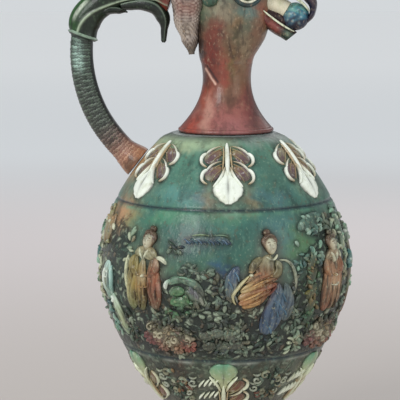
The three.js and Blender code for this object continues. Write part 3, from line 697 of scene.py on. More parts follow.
BODY = body_glaze()
HEAD = clay_glaze("head_glaze", 6.4, rgb(58, 42, 34), rgb(168, 144, 116), runs=0.6, flecks=0.5)
NECK = clay_glaze("neck_glaze", 10, rgb(66, 46, 38), rgb(166, 134, 108), runs=0.3, flecks=0.32)
HANDLE = clay_glaze("handle_glaze", 7, rgb(16, 26, 18), rgb(104, 130, 96), runs=0.2, flecks=0.3)
SPRIG = clay_glaze("sprig_glaze", 5, rgb(58, 54, 44), rgb(186, 184, 146), runs=0.55, flecks=0.42)
CREAMY = clay_glaze("cream_glaze", 9, rgb(176, 180, 138), rgb(248, 252, 242), 0.3, 0.12, 0.3)


# Neck and head

THROAT_BANDS = [
    (258, rgb(150, 88, 80)),
    (276, rgb(148, 90, 78)),
    (290, rgb(134, 80, 60)),
    (306, rgb(136, 82, 60)),
    (318, rgb(124, 90, 66)),
    (334, rgb(112, 106, 82)),
    (350, rgb(116, 118, 98)),
    (376, rgb(88, 116, 92)),
]
# Middle in X and height, half sizes, colour, amount
THROAT_PATCHES = [
    [-8, 310, 7, 26, rgb(108, 38, 28), 0.94],
    # Painted shadow: the dark strip where the tuft meets the neck
    [-16.4, 322, 3.4, 28, rgb(44, 30, 28), 0.95],
    [-13, 296, 4, 9, rgb(96, 48, 40), 0.7],
    [1, 300, 3, 12, rgb(150, 60, 50), 0.6],
    [11, 300, 7, 15, rgb(116, 86, 58), 0.85],
    [5, 285, 7, 7, rgb(126, 98, 78), 0.6],
    [-12, 284, 5, 8, rgb(160, 70, 46), 0.85],
    [-21, 265, 7, 8, rgb(178, 72, 52), 0.9],
    # Painted highlight: a pale pink streak low on the left of the neck
    [-9, 271, 3.6, 15, rgb(196, 146, 128), 0.8],
    [4, 268, 11, 10, rgb(160, 98, 92), 0.7],
    [24, 264, 7, 6, rgb(122, 78, 72), 0.85],
    [8, 262, 11, 8, rgb(164, 108, 106), 0.7],
    [21, 272, 3.4, 12, rgb(104, 64, 62), 0.8],
    [17, 277, 4, 10, rgb(122, 62, 60), 0.7],
    [13, 320, 7, 9, rgb(122, 108, 84), 0.8],
    [4, 320, 4, 9, rgb(92, 70, 46), 0.7],
    [17, 330, 6, 6, rgb(84, 90, 70), 0.8],
    [9, 334, 5, 4, rgb(130, 92, 58), 0.6],
    [-14, 342, 8, 7, rgb(96, 112, 90), 0.8],
    [-5, 344, 6, 5, rgb(164, 164, 134), 0.75],
    [-3, 329, 6, 9, rgb(116, 52, 38), 0.85],
    [2, 341, 7, 6, rgb(138, 124, 102), 0.7],
    [10, 326, 2.4, 9, rgb(70, 66, 42), 0.8],
    [15, 312, 3, 10, rgb(140, 124, 96), 0.6],
    [7, 306, 2, 10, rgb(110, 92, 52), 0.7],
    [10, 345, 4, 3, rgb(96, 84, 72), 0.6],
    # Painted shade: teal under the eye
    [18, 342, 8, 6, rgb(80, 114, 108), 0.75],
    [28, 342, 5, 10, rgb(146, 84, 62), 0.85],
    [24, 330, 5, 8, rgb(126, 84, 62), 0.7],
    [-18, 354, 7, 8, rgb(72, 100, 80), 0.7],
]


def throat_paint(x, z, near):
    """Red down the left side and olive down the right, orange brown over the foot, mottled green and beige
    on the cheek and teal painted shade under the eye, by x and height, with painted shadow where the tuft
    meets the neck and under the flange, and a painted pink highlight low on the left. near marks the side
    where the small scar lies."""
    u, v = wobbled(x, z, 0.9)
    colour = patched(banded(v, THROAT_BANDS), u, v, THROAT_PATCHES)
    # Painted shadow round the flange's underside
    colour = blend(colour, rgb(78, 36, 36), 0.8 * hump((z - 258.4) / 1.7))
    colour = blend(colour, rgb(48, 26, 26), 0.9 * near * line_weight(x, z, (-11.4, 305), (-3.4, 294), 0.8))
    return blend(
        colour, rgb(236, 192, 170), 0.95 * near * line_weight(x, z, (-12.4, 302.6), (-5.2, 292.6), 0.75)
    )


def neck_paint(angle, z):
    """The throat's colours at each angle and height of the neck, with painted shade down the sides that
    face +X and -X.
    """
    radius = np.interp(z, [BELLY_TOP, 268, 280, NECK_WAIST_HEIGHT, NECK_TOP], [34, 26, 19.5, 17, 18])
    x = NECK_LEAN + radius * np.cos(np.radians(angle))
    colour = throat_paint(x, z, np.sin(np.radians(angle)) < 0)
    # Painted shade: the neck darkens where it turns away at the sides
    return blend(colour, colour * 0.45, np.abs(np.cos(np.radians(angle))) ** 12)


def neck_outline():
    """A rounded flange, then a sweep whose radius falls to the waist as the 2.1th power, then the head's
    seat."""
    bottom = BELLY_TOP + SHOULDER_LIP + LUTE
    top = bottom + FLANGE_THICK
    z = np.linspace(top, NECK_WAIST_HEIGHT, 60)
    t = (NECK_WAIST_HEIGHT - z) / (NECK_WAIST_HEIGHT - top)
    sweep = list(zip(NECK_WAIST + (FLANGE - 1.2 - NECK_WAIST) * t**2.1, z))
    rise = np.linspace(0, 1, 14)[1:]
    lift = list(zip(
        NECK_WAIST + (NECK_TOP_RADIUS - NECK_WAIST) * rise**2,
        NECK_WAIST_HEIGHT + (NECK_TOP - NECK_WAIST_HEIGHT) * rise
    ))
    turn = np.linspace(-math.pi / 2, math.pi / 2, 9)
    half = FLANGE_THICK / 2
    rounded = list(zip(FLANGE - half + half * np.cos(turn), bottom + half + half * np.sin(turn)))
    return [
        (BORE, bottom), *rounded, *sweep, *lift[:-1], (NECK_TOP_RADIUS, NECK_TOP - EDGE), lift[-1],
        (BORE, NECK_TOP)
    ]


neck = revolved(neck_outline(), neck_paint, 300)
lean = clamp((neck.vertices[:, 2] - 262) / (NECK_WAIST_HEIGHT - 262))
outside = np.hypot(neck.vertices[:, 0], neck.vertices[:, 1]) > BORE + 0.1
neck.vertices[:, 0] += outside * (FLANGE_SHIFT + (NECK_LEAN - FLANGE_SHIFT) * lean**2 * (3 - 2 * lean))
piece("neck", [neck], NECK)

HEAD_SECTIONS = [
    [306.04, NECK_LEAN, NECK_TOP_RADIUS, NECK_TOP_RADIUS],
    [311, 1.7, 19.1, 18],
    [316, 3, 20.8, 19],
    [323, 5, 22.9, 20],
    [332, 6, 24.7, 21],
    [342, 6.2, 25.6, 21.8],
    [351, 6, 26.4, 22.3],
    [360, 4, 25, 22],
    [368, 1.5, 21.5, 20],
    [HEAD_TOP, 0, 17.5, 17],
]


def head_shape():
    """Ellipses whose centre and half axes follow the sections smoothly up the head, with a bore inside. Low
    feather barbs run back from the beak as small waves of the radius."""
    rows = smooth_line(HEAD_SECTIONS, 150)
    rows = np.concatenate([rows[:1], rows[:1] + [EDGE, 0, 0, 0], rows[1:]])
    angle = full_turn(280)
    z, centre, long, wide = (rows[:, i : i + 1] for i in range(4))
    back = clamp(-np.cos(angle)) * clamp((z - 328) / 12) * clamp((372 - z) / 8)
    barbs = 0.3 * back * np.sin(0.9 * z + 5 * np.abs(np.sin(angle)))
    x = centre + (long + barbs) * np.cos(angle)
    outer = np.stack([x, (wide + barbs) * np.sin(angle), z + 0 * angle], axis=-1)
    ends = [round_axis(BORE, angle, h + 0 * angle) for h in (HEAD_TOP, rows[0, 0])]
    grid = np.concatenate([outer, ends])
    relief = np.full(grid.shape[:2], 0.8)
    relief[: len(rows)] += 0.5 * barbs
    return Shape(grid, throat_paint(grid[..., 0], grid[..., 2], 0), relief, closed=True)


def cup_shape():
    """A flaring wall whose radius swells by |cos|^0.6 of the lobes' angle, open inside, green with cream
    tips."""
    t = np.linspace(0, 1, 40)[:, None]
    angle = full_turn(320)[None]
    wave = np.abs(np.cos(CREST_LOBES * angle / 2)) ** 0.6
    r = 15 + (MOUTH_RADIUS - 15) * t**1.6 + 1.1 * np.minimum(1, 3 * t) * wave
    z = HEAD_TOP + LUTE + (MOUTH_RIM - HEAD_TOP - LUTE) * t + 0 * angle
    outer = round_axis(r, angle, z)
    s = t[::-1]
    bore = BORE + (MOUTH_RADIUS - 3.5 - BORE) * s + 0 * angle
    low = HEAD_TOP + LUTE + (MOUTH_RIM - HEAD_TOP - LUTE) * s + 0 * angle
    inner = round_axis(bore, angle, low)
    leaf = blend(GREEN * 0.8, CREAM, (t**3) * wave)
    colour = np.concatenate([leaf, np.broadcast_to(TAN, leaf.shape)])
    relief = np.concatenate([0.25 + 0.65 * wave + 0 * t, np.full(leaf.shape[:2], 0.7)])
    return Shape(np.concatenate([outer, inner]), colour, relief, closed=True)


def tuft_rings(share, angle):
    """Dots along the rings of a swirl in the tuft's upper half, and along slanting barbs below it: cosines
    of the distance from the swirl's middle, then of a slanting distance, times cosines along them."""
    u = 8.5 * (from_top(angle) - math.pi / 2)
    w = TUFT_LENGTH * (share - 0.42)
    out = np.hypot(u, w)
    ring = np.cos(2 * math.pi * out / TUFT_PITCH)
    dots = np.cos(np.arctan2(u, w) * np.round(5.4 * np.floor(out / TUFT_PITCH + 0.5) + 1))
    slant = 0.5 * (w - np.abs(u)) + 0.5 * np.sin(0.4 * u)
    barb = np.cos(2 * math.pi * slant / TUFT_PITCH * 1.3)
    beads = np.cos(2 * math.pi * (u + 0.5 * w) / TUFT_PITCH)
    below = clamp((w - 9) / 3)
    line = ring * (1 - below) + barb * below
    bead = dots * (1 - below) + beads * below
    worn = 0.75 + 0.25 * np.sin(0.9 * u + 2 * np.sin(0.35 * w))
    return clamp(0.42 + worn * (0.26 * line + 0.28 * bead))


def tuft_height(share, angle):
    """The tuft's dots, 0.5 mm high."""
    return 0.5 * tuft_rings(share, angle)


def upper_beak_paint(share, angle):
    """Grey mauve above, blue black below and down the hooked tip, with pale streaks along the bill."""
    top = np.cos(angle) + 0 * share
    colour = blend(rgb(140, 106, 98), rgb(86, 66, 68), clamp(2 * share) + 0 * angle)
    colour = blend(colour, rgb(206, 190, 170), 0.6 * np.sin(9 * angle + 3 * share) ** 6 * clamp(top))
    return blend(colour, rgb(34, 32, 54), clamp(clamp(-1.4 * top - 0.1) + clamp(6 * share - 3.4)))


def lower_beak_paint(share, angle):
    """Brown red with a dark underside, turning green black at the tip, cream along the upper edge."""
    top = np.cos(angle) + 0 * share
    red = rgb(136, 74, 66)
    colour = blend(red, rgb(96, 50, 58), clamp(0.5 + np.sin(9 * share + 2 * top)) * 0.5)
    colour = blend(colour, rgb(44, 24, 30), clamp(-2.2 * top - 1.1))
    colour = blend(colour, rgb(46, 64, 56), clamp((share - 0.66) * 6) + 0 * angle)
    colour = blend(
        colour, rgb(140, 160, 132), 0.7 * hump((share - 0.9) / 0.05) * clamp(1 - 2 * np.abs(top))
    )
    return blend(colour, rgb(58, 30, 34), clamp(4 * top - 2))


def pearl_paint(unit):
    """Painted light on the pearl: mint where the light falls on the upper front, blue and then navy in
    painted shade towards the lower right, in blotches, with pale flecks."""
    x, y, z = (unit[..., i] for i in range(3))
    cloud = np.sin(6 * x + 3 * np.sin(5 * z + 2 * y) + 1)
    fleck = clamp(np.sin(9 * x + 4 * z + 1) * np.sin(10 * z - 5 * x + 6 * y)) ** 3
    # Painted light: lit is highest on the upper front, with painted shade below
    lit = clamp(0.42 + 0.75 * z - 0.2 * x + 0.22 * cloud)
    colour = blend(rgb(22, 40, 66), rgb(54, 116, 136), 2 * lit)
    colour = blend(colour, rgb(120, 176, 164), 2 * lit - 1)
    colour = blend(colour, rgb(90, 96, 116), 0.5 * clamp(-1.4 * x - 0.2 * z))
    return blend(colour, rgb(176, 210, 206), 0.6 * fleck)


def tuft_paint(share, angle):
    """Brown grey between cream beige dots, red in the swirl, a pale painted highlight in the lower middle
    and greener at the tip."""
    height = tuft_rings(share, angle)
    colour = blend(rgb(122, 106, 98), rgb(206, 194, 180), 0.9 * height)
    warm = np.exp(-(((share - 0.42) / 0.12) ** 2) - ((np.sin(angle) ** 2 - 1) / 0.4) ** 2)
    colour = blend(colour, rgb(150, 72, 60), 0.4 * warm)
    # Painted highlight on the lower middle of the tuft
    pale = hump((share - 0.68) / 0.1) * clamp(np.cos(angle) * -0.8 + 0.6)
    colour = blend(colour, rgb(222, 208, 190), 0.5 * pale)
    edge = clamp(np.abs(np.cos(angle)) * 8 - 6.8) + 0 * share
    colour = blend(colour, rgb(64, 50, 52), 0.7 * edge)
    return blend(colour, rgb(84, 78, 66), 0.7 * clamp((share - 0.84) * 9) + 0 * angle)


UPPER_BEAK = [(24, 359), (43, 359.5), (55, 354), (60.6, 346.5), (60.2, 340), (56, 334.4), (52.6, 330.4)]
UPPER_BEAK_SIZES = [[0, 7.3, 13.8], [0.35, 5.8, 11.3], [0.6, 3.8, 8.3], [0.8, 2, 5.3], [1, 0.8, 2.4]]
LOWER_BEAK = [(20, 343.5), (29, 336.6), (36, 330.9), (42.4, 327.2), (46.4, 324.6)]
LOWER_BEAK_SIZES = [[0, 6.8, 12.8], [0.45, 4.8, 10.3], [1, 4.7, 6.1]]
LOWER_BEAK_END = (0.62, -0.78)
PEARL = (48.7, 0, 338.3)
PEARL_RADIUS = 9.6
TUFT = [(-21, 367), (-24.2, 350), (-25, 335), (-23.6, 324), (-22.6, 312.2)]
TUFT_SIZES = [[0, 6.6, 13.6], [0.3, 11.6, 20.4], [0.55, 9.4, 14.6], [0.8, 5.9, 8], [1, 1.6, 2]]

piece("head", [head_shape()], HEAD)
piece("mouth_cup", [cup_shape()], HEAD)
# Cords along the beaks and over the nostrils on the left side
BILL_EDGE = [(30, 12.6, 355), (42, 11.2, 353.8), (50.2, 9, 349.8), (55.4, 7, 345.6), (58.4, 5, 341.6)]
NOSTRIL = [(38, 8.6, 363.4), (42, 8.9, 363.3), (46, 8, 361.6)]
LOWER_EDGE = [(27, 12, 342.6), (34, 11, 336.9), (41, 9.4, 332), (48.4, 6, 328)]


def on_both_sides(points, *look):
    """The same cord on the left and, with Y turned round, on the right."""
    return [bead_line([(x, side * y, z) for x, y, z in points], *look) for side in (-1, 1)]


bill_edges = on_both_sides(BILL_EDGE, 1, CREAM)
nostrils = on_both_sides(NOSTRIL, 0.9, DARK, 24)
upper_bill = rod(UPPER_BEAK, UPPER_BEAK_SIZES, 90, 72, upper_beak_paint)
piece("beak_upper", [upper_bill, *bill_edges, *nostrils], HEAD)
lower_edges = on_both_sides(LOWER_EDGE, 0.7, CREAM)
lower_bill = rod(LOWER_BEAK, LOWER_BEAK_SIZES, 70, 64, lower_beak_paint, faces=(None, LOWER_BEAK_END))
gum = rod([(22, 344), (32, 340), (42, 334.4)], [[0, 5, 9], [0.6, 5, 8], [1, 4, 6]], 30, 40, rgb(48, 26, 30))
piece("beak_lower", [lower_bill, gum, *lower_edges], HEAD)
TONGUE = [(25, 349), (34, 346.5), (42.6, 342.3)]
TONGUE_SIZES = [[0, 6.8, 9.8], [0.5, 6.8, 9.3], [1, 6.4, 7.3]]
piece("tongue", [rod(TONGUE, TONGUE_SIZES, 40, 40, rgb(226, 218, 190))], CREAMY)
piece("pearl", [ball(PEARL, (PEARL_RADIUS,) * 3, 0, pearl_paint, 60, 90)], HEAD)
# Middles of the eyes and of the curls behind them, in X and height, and how far the eyes turn to the front
EYE_X, EYE_HEIGHT = 17, 356
CURL_X, CURL_HEIGHT = -8.4, 350
EYE_TURN = 0.34
for side, hand in ((1, "left"), (-1, "right")):
    turn = -side * EYE_TURN
    lens = [
        ball((EYE_X, side * 20.4, EYE_HEIGHT), (7.4, 3.2, 7.4), turn, rgb(82, 108, 66)),
        ball((EYE_X + 0.5, side * 22.3, EYE_HEIGHT), (2.5, 2.0, 2.5), turn, BLACK),
    ]
    rims = [
        # The outer ring's dark teal is partly the eye's own rim, partly painted shade under the eye
        ring((EYE_X, side * 20.2, EYE_HEIGHT), 10, 1.7, turn, rgb(38, 62, 62)),
        ring((EYE_X + 0.2, side * 20.9, EYE_HEIGHT), 8.2, 0.9, turn, rgb(232, 232, 206)),
    ]
    piece(f"eye_{hand}", [*rims, *lens], HEAD)
    curl = [
        ball((CURL_X, side * 20.7, CURL_HEIGHT), (5.4, 3.9, 5.4), 0, rgb(58, 88, 70)),
        ring((CURL_X, side * 22.6, CURL_HEIGHT), 3.4, 0.9, 0, rgb(132, 158, 126)),
        ball((CURL_X, side * 23.2, CURL_HEIGHT), (1.5, 1.3, 1.5), 0, rgb(50, 76, 60), 14, 20),
    ]
    piece(f"brow_curl_{hand}", curl, HEAD)
tuft = rod(TUFT, TUFT_SIZES, 190, 190, tuft_paint, tuft_height, 3.4)
piece("nape_tuft", [tuft], HEAD)

# Handle

ROOT_HEIGHT = 237
ROOT_REACH = belly_radius(ROOT_HEIGHT) + 0.8
COLLAR_FACES = (math.sin(0.34), math.cos(0.34))
STEM = [(-ROOT_REACH, ROOT_HEIGHT), (-ROOT_REACH - 14, 250), (-89.8, 272), (-97.6, 294.5), (-98.9, 324.6)]
STEM_SIZES = [[0, 11.4, 11.6], [0.16, 8.3, 7.8], [1, 7.8, 7.8]]
SCROLL = [(-98.4, 325.9), (-96.6, 336), (-91.5, 343), (-83, 349), (-70, 353.8), (-54, 355.6), (-36, 352.5)]
SCROLL_SIZES = [
    [0, 9.8, 8.4], [0.12, 11.1, 8.7], [0.3, 10.2, 8.9], [0.6, 8, 8.4], [0.85, 8.4, 8.4], [1, 12.2, 8.1]
]
stem_rings = ring_dots(*STEM_RINGS)
# Colours by the share of the stem's length
STEM_GROUND = [
    (0, rgb(186, 122, 84)), (0.12, rgb(140, 92, 76)), (0.24, rgb(52, 38, 36)), (0.36, rgb(14, 18, 16)),
    (1, rgb(12, 20, 16))
]
STEM_TOPS = [
    (0, rgb(216, 164, 122)), (0.12, rgb(214, 178, 152)), (0.24, rgb(170, 144, 132)),
    (0.36, rgb(128, 138, 124)), (1, rgb(126, 152, 132))
]
scroll_ridges = ridges([[1.25, 2.15, 2.2]], 0.085)
leaf_veins = ridges([[1.3, 1.15, 1.4]], 0.12)


def inner_side(angle):
    """1 on the side of the stem that faces the neck, 0 elsewhere."""
    return clamp((-np.cos(angle) - 0.78) * 9)


def stem_height(share, angle):
    """Little rings in rows, left out along the stem's inner side."""
    return 0.5 * stem_rings(share, angle) * (1 - inner_side(angle)) * clamp(share * 14 - 0.6)


def stem_paint(share, angle):
    """Near black with pale green rings, a painted mint highlight near the collar, brown pink and then
    orange towards the shoulder."""
    high = stem_rings(share, angle) * (1 - inner_side(angle))
    colour = blend(banded(share, STEM_GROUND), banded(share, STEM_TOPS), high)
    turned = from_top(angle)
    # Painted highlight near the collar, mostly on the ring tops
    painted_highlight = np.exp(-(((share - 0.86) / 0.1) ** 4) - ((turned - 1.35) / 0.5) ** 4)
    return blend(colour, rgb(190, 224, 208), 0.9 * painted_highlight * (0.15 + 0.85 * clamp(2 * high)))


def scroll_paint(share, angle):
    """Dark green with painted light on its top, a painted pale highlight stroke near the collar, thin pale
    lines, and brown red at the end by the head.
    """
    high = scroll_ridges(share, angle)
    # Painted light: brighter green on the scroll's top
    top = clamp(np.cos(angle)) + 0 * share
    colour = blend(rgb(22, 40, 24), rgb(42, 98, 36), top)
    colour = blend(colour, rgb(20, 28, 20), 0.7 * clamp(np.sin(7 * angle + 11 * share)) ** 3)
    turned = from_top(angle)
    # Painted highlight: a pale stroke near the collar
    painted_highlight = np.exp(-(((share - 0.19) / 0.08) ** 4) - ((turned - 0.92) / 0.17) ** 4)
    colour = blend(colour, rgb(226, 238, 214), 0.9 * painted_highlight)
    colour = blend(colour, rgb(168, 184, 156), high)
    return blend(colour, rgb(132, 60, 46), clamp((share - 0.86) * 12) * (1 - 0.6 * high))


def collar_paint(share, angle):
    """A painted highlight round the collar's upper half, dark below."""
    return blend(rgb(34, 46, 40), rgb(150, 172, 150), clamp(3 * share - 0.9) + 0 * angle)


def scroll_height(share, angle):
    """The scroll's ridges, 0.6 mm high."""
    return 0.6 * scroll_ridges(share, angle)


def leaf_height(share, angle):
    """The leaves' veins, 0.4 mm high."""
    return 0.4 * leaf_veins(share, angle)


def leaf_paint(share, angle):
    """Dark green with two pale veins that fade towards the tip."""
    high = leaf_veins(share, angle)
    return blend(rgb(24, 36, 28), rgb(132, 148, 128), high * (1 - 0.7 * share))


INNER_LEAF = [(-88.5, 335.8), (-84, 341.2), (-76, 343), (-67.2, 341)]
INNER_LEAF_SIZES = [[0, 2.4, 5.8], [0.45, 3.2, 7.2], [0.75, 3, 5.4], [1, 0.5, 0.8]]
DROP_LEAF = [
    (-71, 345.6), (-64, 346.6), (-56, 347), (-47, 344), (-41.8, 335.5), (-41.8, 327), (-42.2, 320.3)
]
DROP_LEAF_SIZES = [
    [0, 3.4, 6], [0.14, 4.2, 6.6], [0.4, 5.2, 7.7], [0.63, 5, 6.3], [0.84, 2.4, 2.6], [0.97, 1.9, 2.1],
    [1, 1.1, 1.2]
]
stem = rod(STEM, STEM_SIZES, 370, 170, stem_paint, stem_height, faces=(None, COLLAR_FACES))
piece("handle_stem", [stem], HANDLE)
collar_path = [(-99.1, 323.8), (-98.6, 325.2), (-98.1, 326.6)]
collar_turn = rod(collar_path, [[0, 9.6, 9.6], [0.5, 10.9, 10.9], [1, 9.6, 9.6]], 20, 80, collar_paint)
piece("handle_collar", [collar_turn], HANDLE)
scroll = rod(SCROLL, SCROLL_SIZES, 220, 150, scroll_paint, scroll_height, faces=(COLLAR_FACES, None))
piece("handle_scroll", [scroll], HANDLE)
piece("leaf_inner", [rod(INNER_LEAF, INNER_LEAF_SIZES, 80, 80, leaf_paint, leaf_height)], HANDLE)
piece("leaf_drop", [rod(DROP_LEAF, DROP_LEAF_SIZES, 120, 80, leaf_paint, leaf_height)], HANDLE)

# Sprigs


def faded(*stops):
    """A colour that changes along a lobe, through the given stops from its start to its end."""

    def at(t):
        return banded(t, list(zip(np.linspace(0, 1, len(stops)), stops)))

    return at


# Petals of a palmette's right half, which droop outwards: a pad, two veins on it, the line over it, its
# hooked end
PETALS = [
    [
        [(3.2, 16.6), (8.6, 13), (13.6, 6.6)],
        [(2.8, 18.4), (8.4, 15.2), (13.8, 8.8)],
        [(2.8, 14), (7.2, 10.6), (11.6, 5)],
        [(2.6, 20.8), (8.2, 18.6), (13.6, 14)],
        [(13.2, 14.4), (16.8, 10.8), (16.9, 6.4), (13.6, 3.8)],
    ],
    [
        [(3.8, 4), (8.8, 0.2), (13, -6.6)],
        [(3.2, 6.2), (8.6, 2.6), (13.4, -4.4)],
        [(4.2, 1.4), (7.8, -2.4), (11, -8)],
        [(3, 8.6), (8.4, 6.4), (13.4, 1.4)],
        [(13, 1.8), (16.6, -2), (16.7, -6.8), (13.4, -9.2)],
    ],
]
SPADE = [[0, 0.14], [0.2, 0.3], [0.4, 0.66], [0.52, 0.92], [0.62, 1], [0.74, 0.92], [0.88, 0.62], [1, 0.2]]
BUD = [[0, 0.14], [0.25, 0.3], [0.45, 0.6], [0.6, 0.9], [0.72, 1], [0.84, 0.93], [0.94, 0.7], [1, 0.36]]


def palmette(sprig, spade, rim, heart, profile=SPADE, strokes=False):
    """A stem between two lines that widens to a spade of the given profile with a thin crease, and two
    pairs of drooping petals with hooked ends. With strokes the left petals are fans of pale strokes
    instead."""
    line = rgb(182, 158, 118)
    for side in (-1, 1):
        for i, petal in enumerate(PETALS):
            pad, vein, low_vein, over, hook = ([(side * u, v) for u, v in points] for points in petal)
            if strokes and side < 0:
                for k in range(4):
                    u, v = -5 - 3.6 * k, 6 - 13 * i + 0.9 * k
                    sprig.lobe(
                        [(u + 2.6, v - 3.4), (u, v), (u - 1.6, v + 4)], 0.95, 2.2,
                        faded(CREAM, rgb(230, 232, 214)), 0.6, 0.45
                    )
                continue
            sprig.lobe(pad, 4.7, 0.9, faded(TAN * 0.6, heart, heart * 0.6), 0.6, 0.42)
            for path in (vein, low_vein):
                sprig.lobe(path, 0.4, 1.5, faded(line * 0.8, line * 0.5))
            sprig.lobe(over, 0.7, 1.9, faded(line, rim), 0.75, 0.3)
            sprig.lobe(hook, 1.25, 2.2, faded(rim, rim, line), 0.4, 0.35)
        sprig.lobe([(side * 2.3, 20.6), (side * 2.6, 8), (side * 3.4, 1)], 0.7, 1.7, line)
        sprig.lobe(
            [(side * 1.8, 4), (side * 4, -3), (side * 9.8, -11.4)], 1.0, 2.6, faded(line, rim, rim), 0.6,
            0.3
        )
    if strokes:
        for u, v, size, turn, hand in (
            (-22, -4, 3.6, 0.6, 1), (-25, 6, 2.6, 2.4, -1), (21.6, 1, 3.0, 3.4, -1), (24, -7, 3.2, 0.2, 1)
        ):
            sprig.curl(u, v, size, turn, rgb(164, 170, 150), hand, 0.85, 1.6)
            sprig.lobe([(u - 3, v - 6), (u, v - 4.4), (u + 3, v - 6)], 0.9, 1.3, rgb(136, 142, 122))
    sprig.lobe([(0, 3), (0, -10), (0, -23.4)], 10.3, 2.5, spade, 0.5, 0.5, folds=1, profile=profile)
    sprig.lobe([(0, 23.4), (0, 9), (0, -3)], 1.7, 2.5, rim, 0.5, 0.35)


def robed(sprig, falls, sleeves, hand):
    """Falls of a robe, then sleeves over them with cream cuffs, then folded hands."""
    for path, width, high, colour, folds in falls:
        sprig.lobe(path, width, high, colour, 0.6, 0.4, folds=folds)
    for path, width, high, colour in sleeves:
        sprig.lobe(path, width, high, faded(colour, colour * 0.6), 0.5, 0.5, folds=2)
        u, v = path[-1]
        sprig.lobe([(u - 1.6, v + 1.4), (u + 1.6, v + 1.2)], 0.9, high + 0.3, TAN)
    sprig.lobe([(hand[0] - 1.4, hand[1]), (hand[0] + 1.4, hand[1] + 0.6)], 1.2, 4.2, CREAM, 0.5, 0.5)


def standing_figure(sprig):
    """Three falls of robe, shoulders, sleeves that meet in front, a collar, a sash, scarves and a head."""
    gold, rust = rgb(166, 142, 52), rgb(164, 78, 42)
    falls = [
        [
            [(-7, 15), (-9.6, -4), (-11.4, -22)], 6.0, 2.6,
            faded(rgb(140, 130, 70), gold, rgb(84, 104, 56)), 3
        ],
        [
            [(-1, 14), (-2.6, -6), (-3, -22)], 5.4, 2.5,
            faded(rgb(132, 112, 60), rgb(168, 128, 52), rgb(96, 104, 56)), 3
        ],
        [[(6.4, 15), (8.2, -4), (8.2, -20)], 5.8, 2.7, faded(rgb(120, 92, 50), rust, rgb(100, 66, 40)), 3],
        [[(-9, 15), (0, 17.6), (9, 14)], 4.6, 3.0, rgb(128, 122, 74), 3],
    ]
    sleeves = [
        [[(-8, 15), (-9.6, 7), (-3, 1.4)], 2.9, 3.6, gold * 0.8],
        [[(8, 15), (9.6, 7), (3, 1)], 2.9, 3.6, rust * 0.8]
    ]
    robed(sprig, falls, sleeves, (0.2, 1.6))
    for side in (-1, 1):
        sprig.lobe([(side * 4, 20), (0, 12)], 0.8, 4.0, CREAM)
    sprig.lobe([(-5, -4), (0, -5.4), (5, -4.4)], 0.7, 3.6, TAN)
    sprig.lobe([(-15, 14), (-15.6, 2), (-13.4, -12)], 1.5, 2.6, rgb(214, 218, 180))
    sprig.lobe([(8, 14), (13, 14), (17, 10.6)], 1.7, 2.4, CREAM, 0.5, 0.5, folds=1)
    for u, v in ((-9, 2), (-7, -12), (1, -8), (4.6, -4), (9.6, -10), (-4, -17), (4.8, -14)):
        sprig.lobe([(u - 0.6, v + 5), (u + 0.6, v), (u - 0.4, v - 4)], 0.6, 3.1, rgb(54, 38, 30))
    sprig.head(2, 25, 1.1, -0.15, 1)


def attendant(sprig):
    """One long robe with deep folds, shoulders, sleeves, a sash and a head."""
    warm, rust = rgb(190, 124, 74), rgb(156, 78, 44)
    falls = [
        [[(-5, 14), (-6.6, -4), (-7.6, -23)], 6.0, 2.6, faded(warm, rgb(160, 104, 60), rust), 3],
        [[(0, 13), (0, -6), (-0.6, -23)], 5.2, 2.5, faded(rust, rgb(196, 138, 84), rgb(124, 78, 48)), 3],
        [[(5, 14), (6.6, -4), (6.6, -21)], 6.0, 2.6, faded(rgb(140, 84, 54), warm, rgb(150, 92, 56)), 3],
        [[(-8, 12), (0, 15), (8, 12)], 4.4, 3.0, TAN * 0.8, 3],
    ]
    sleeves = [
        [[(-7.6, 13), (-8.6, 5), (-1, 0)], 2.8, 3.6, warm * 0.9],
        [[(7.6, 13), (8.6, 5), (1, 0)], 2.8, 3.6, rust]
    ]
    robed(sprig, falls, sleeves, (0, 0.8))
    sprig.lobe([(-6, -4), (0, -5.6), (6, -4)], 0.7, 3.7, CREAM)
    for side in (-1, 1):
        sprig.lobe([(side * 3.6, 17), (0, 9)], 0.8, 4.0, CREAM)
        sprig.lobe([(side * 8.6, 6), (side * 9.6, -6), (side * 8.6, -19)], 0.9, 2.8, rgb(62, 66, 58))
    for u, v in ((-3.4, -8), (3.2, -10), (-3.6, -17), (3, -19), (0, 8)):
        sprig.lobe([(u - 0.5, v + 5), (u + 0.5, v), (u, v - 4)], 0.6, 3.1, rgb(62, 38, 28))
    sprig.head(0, 21.8, 1.02, 0.1, 0)


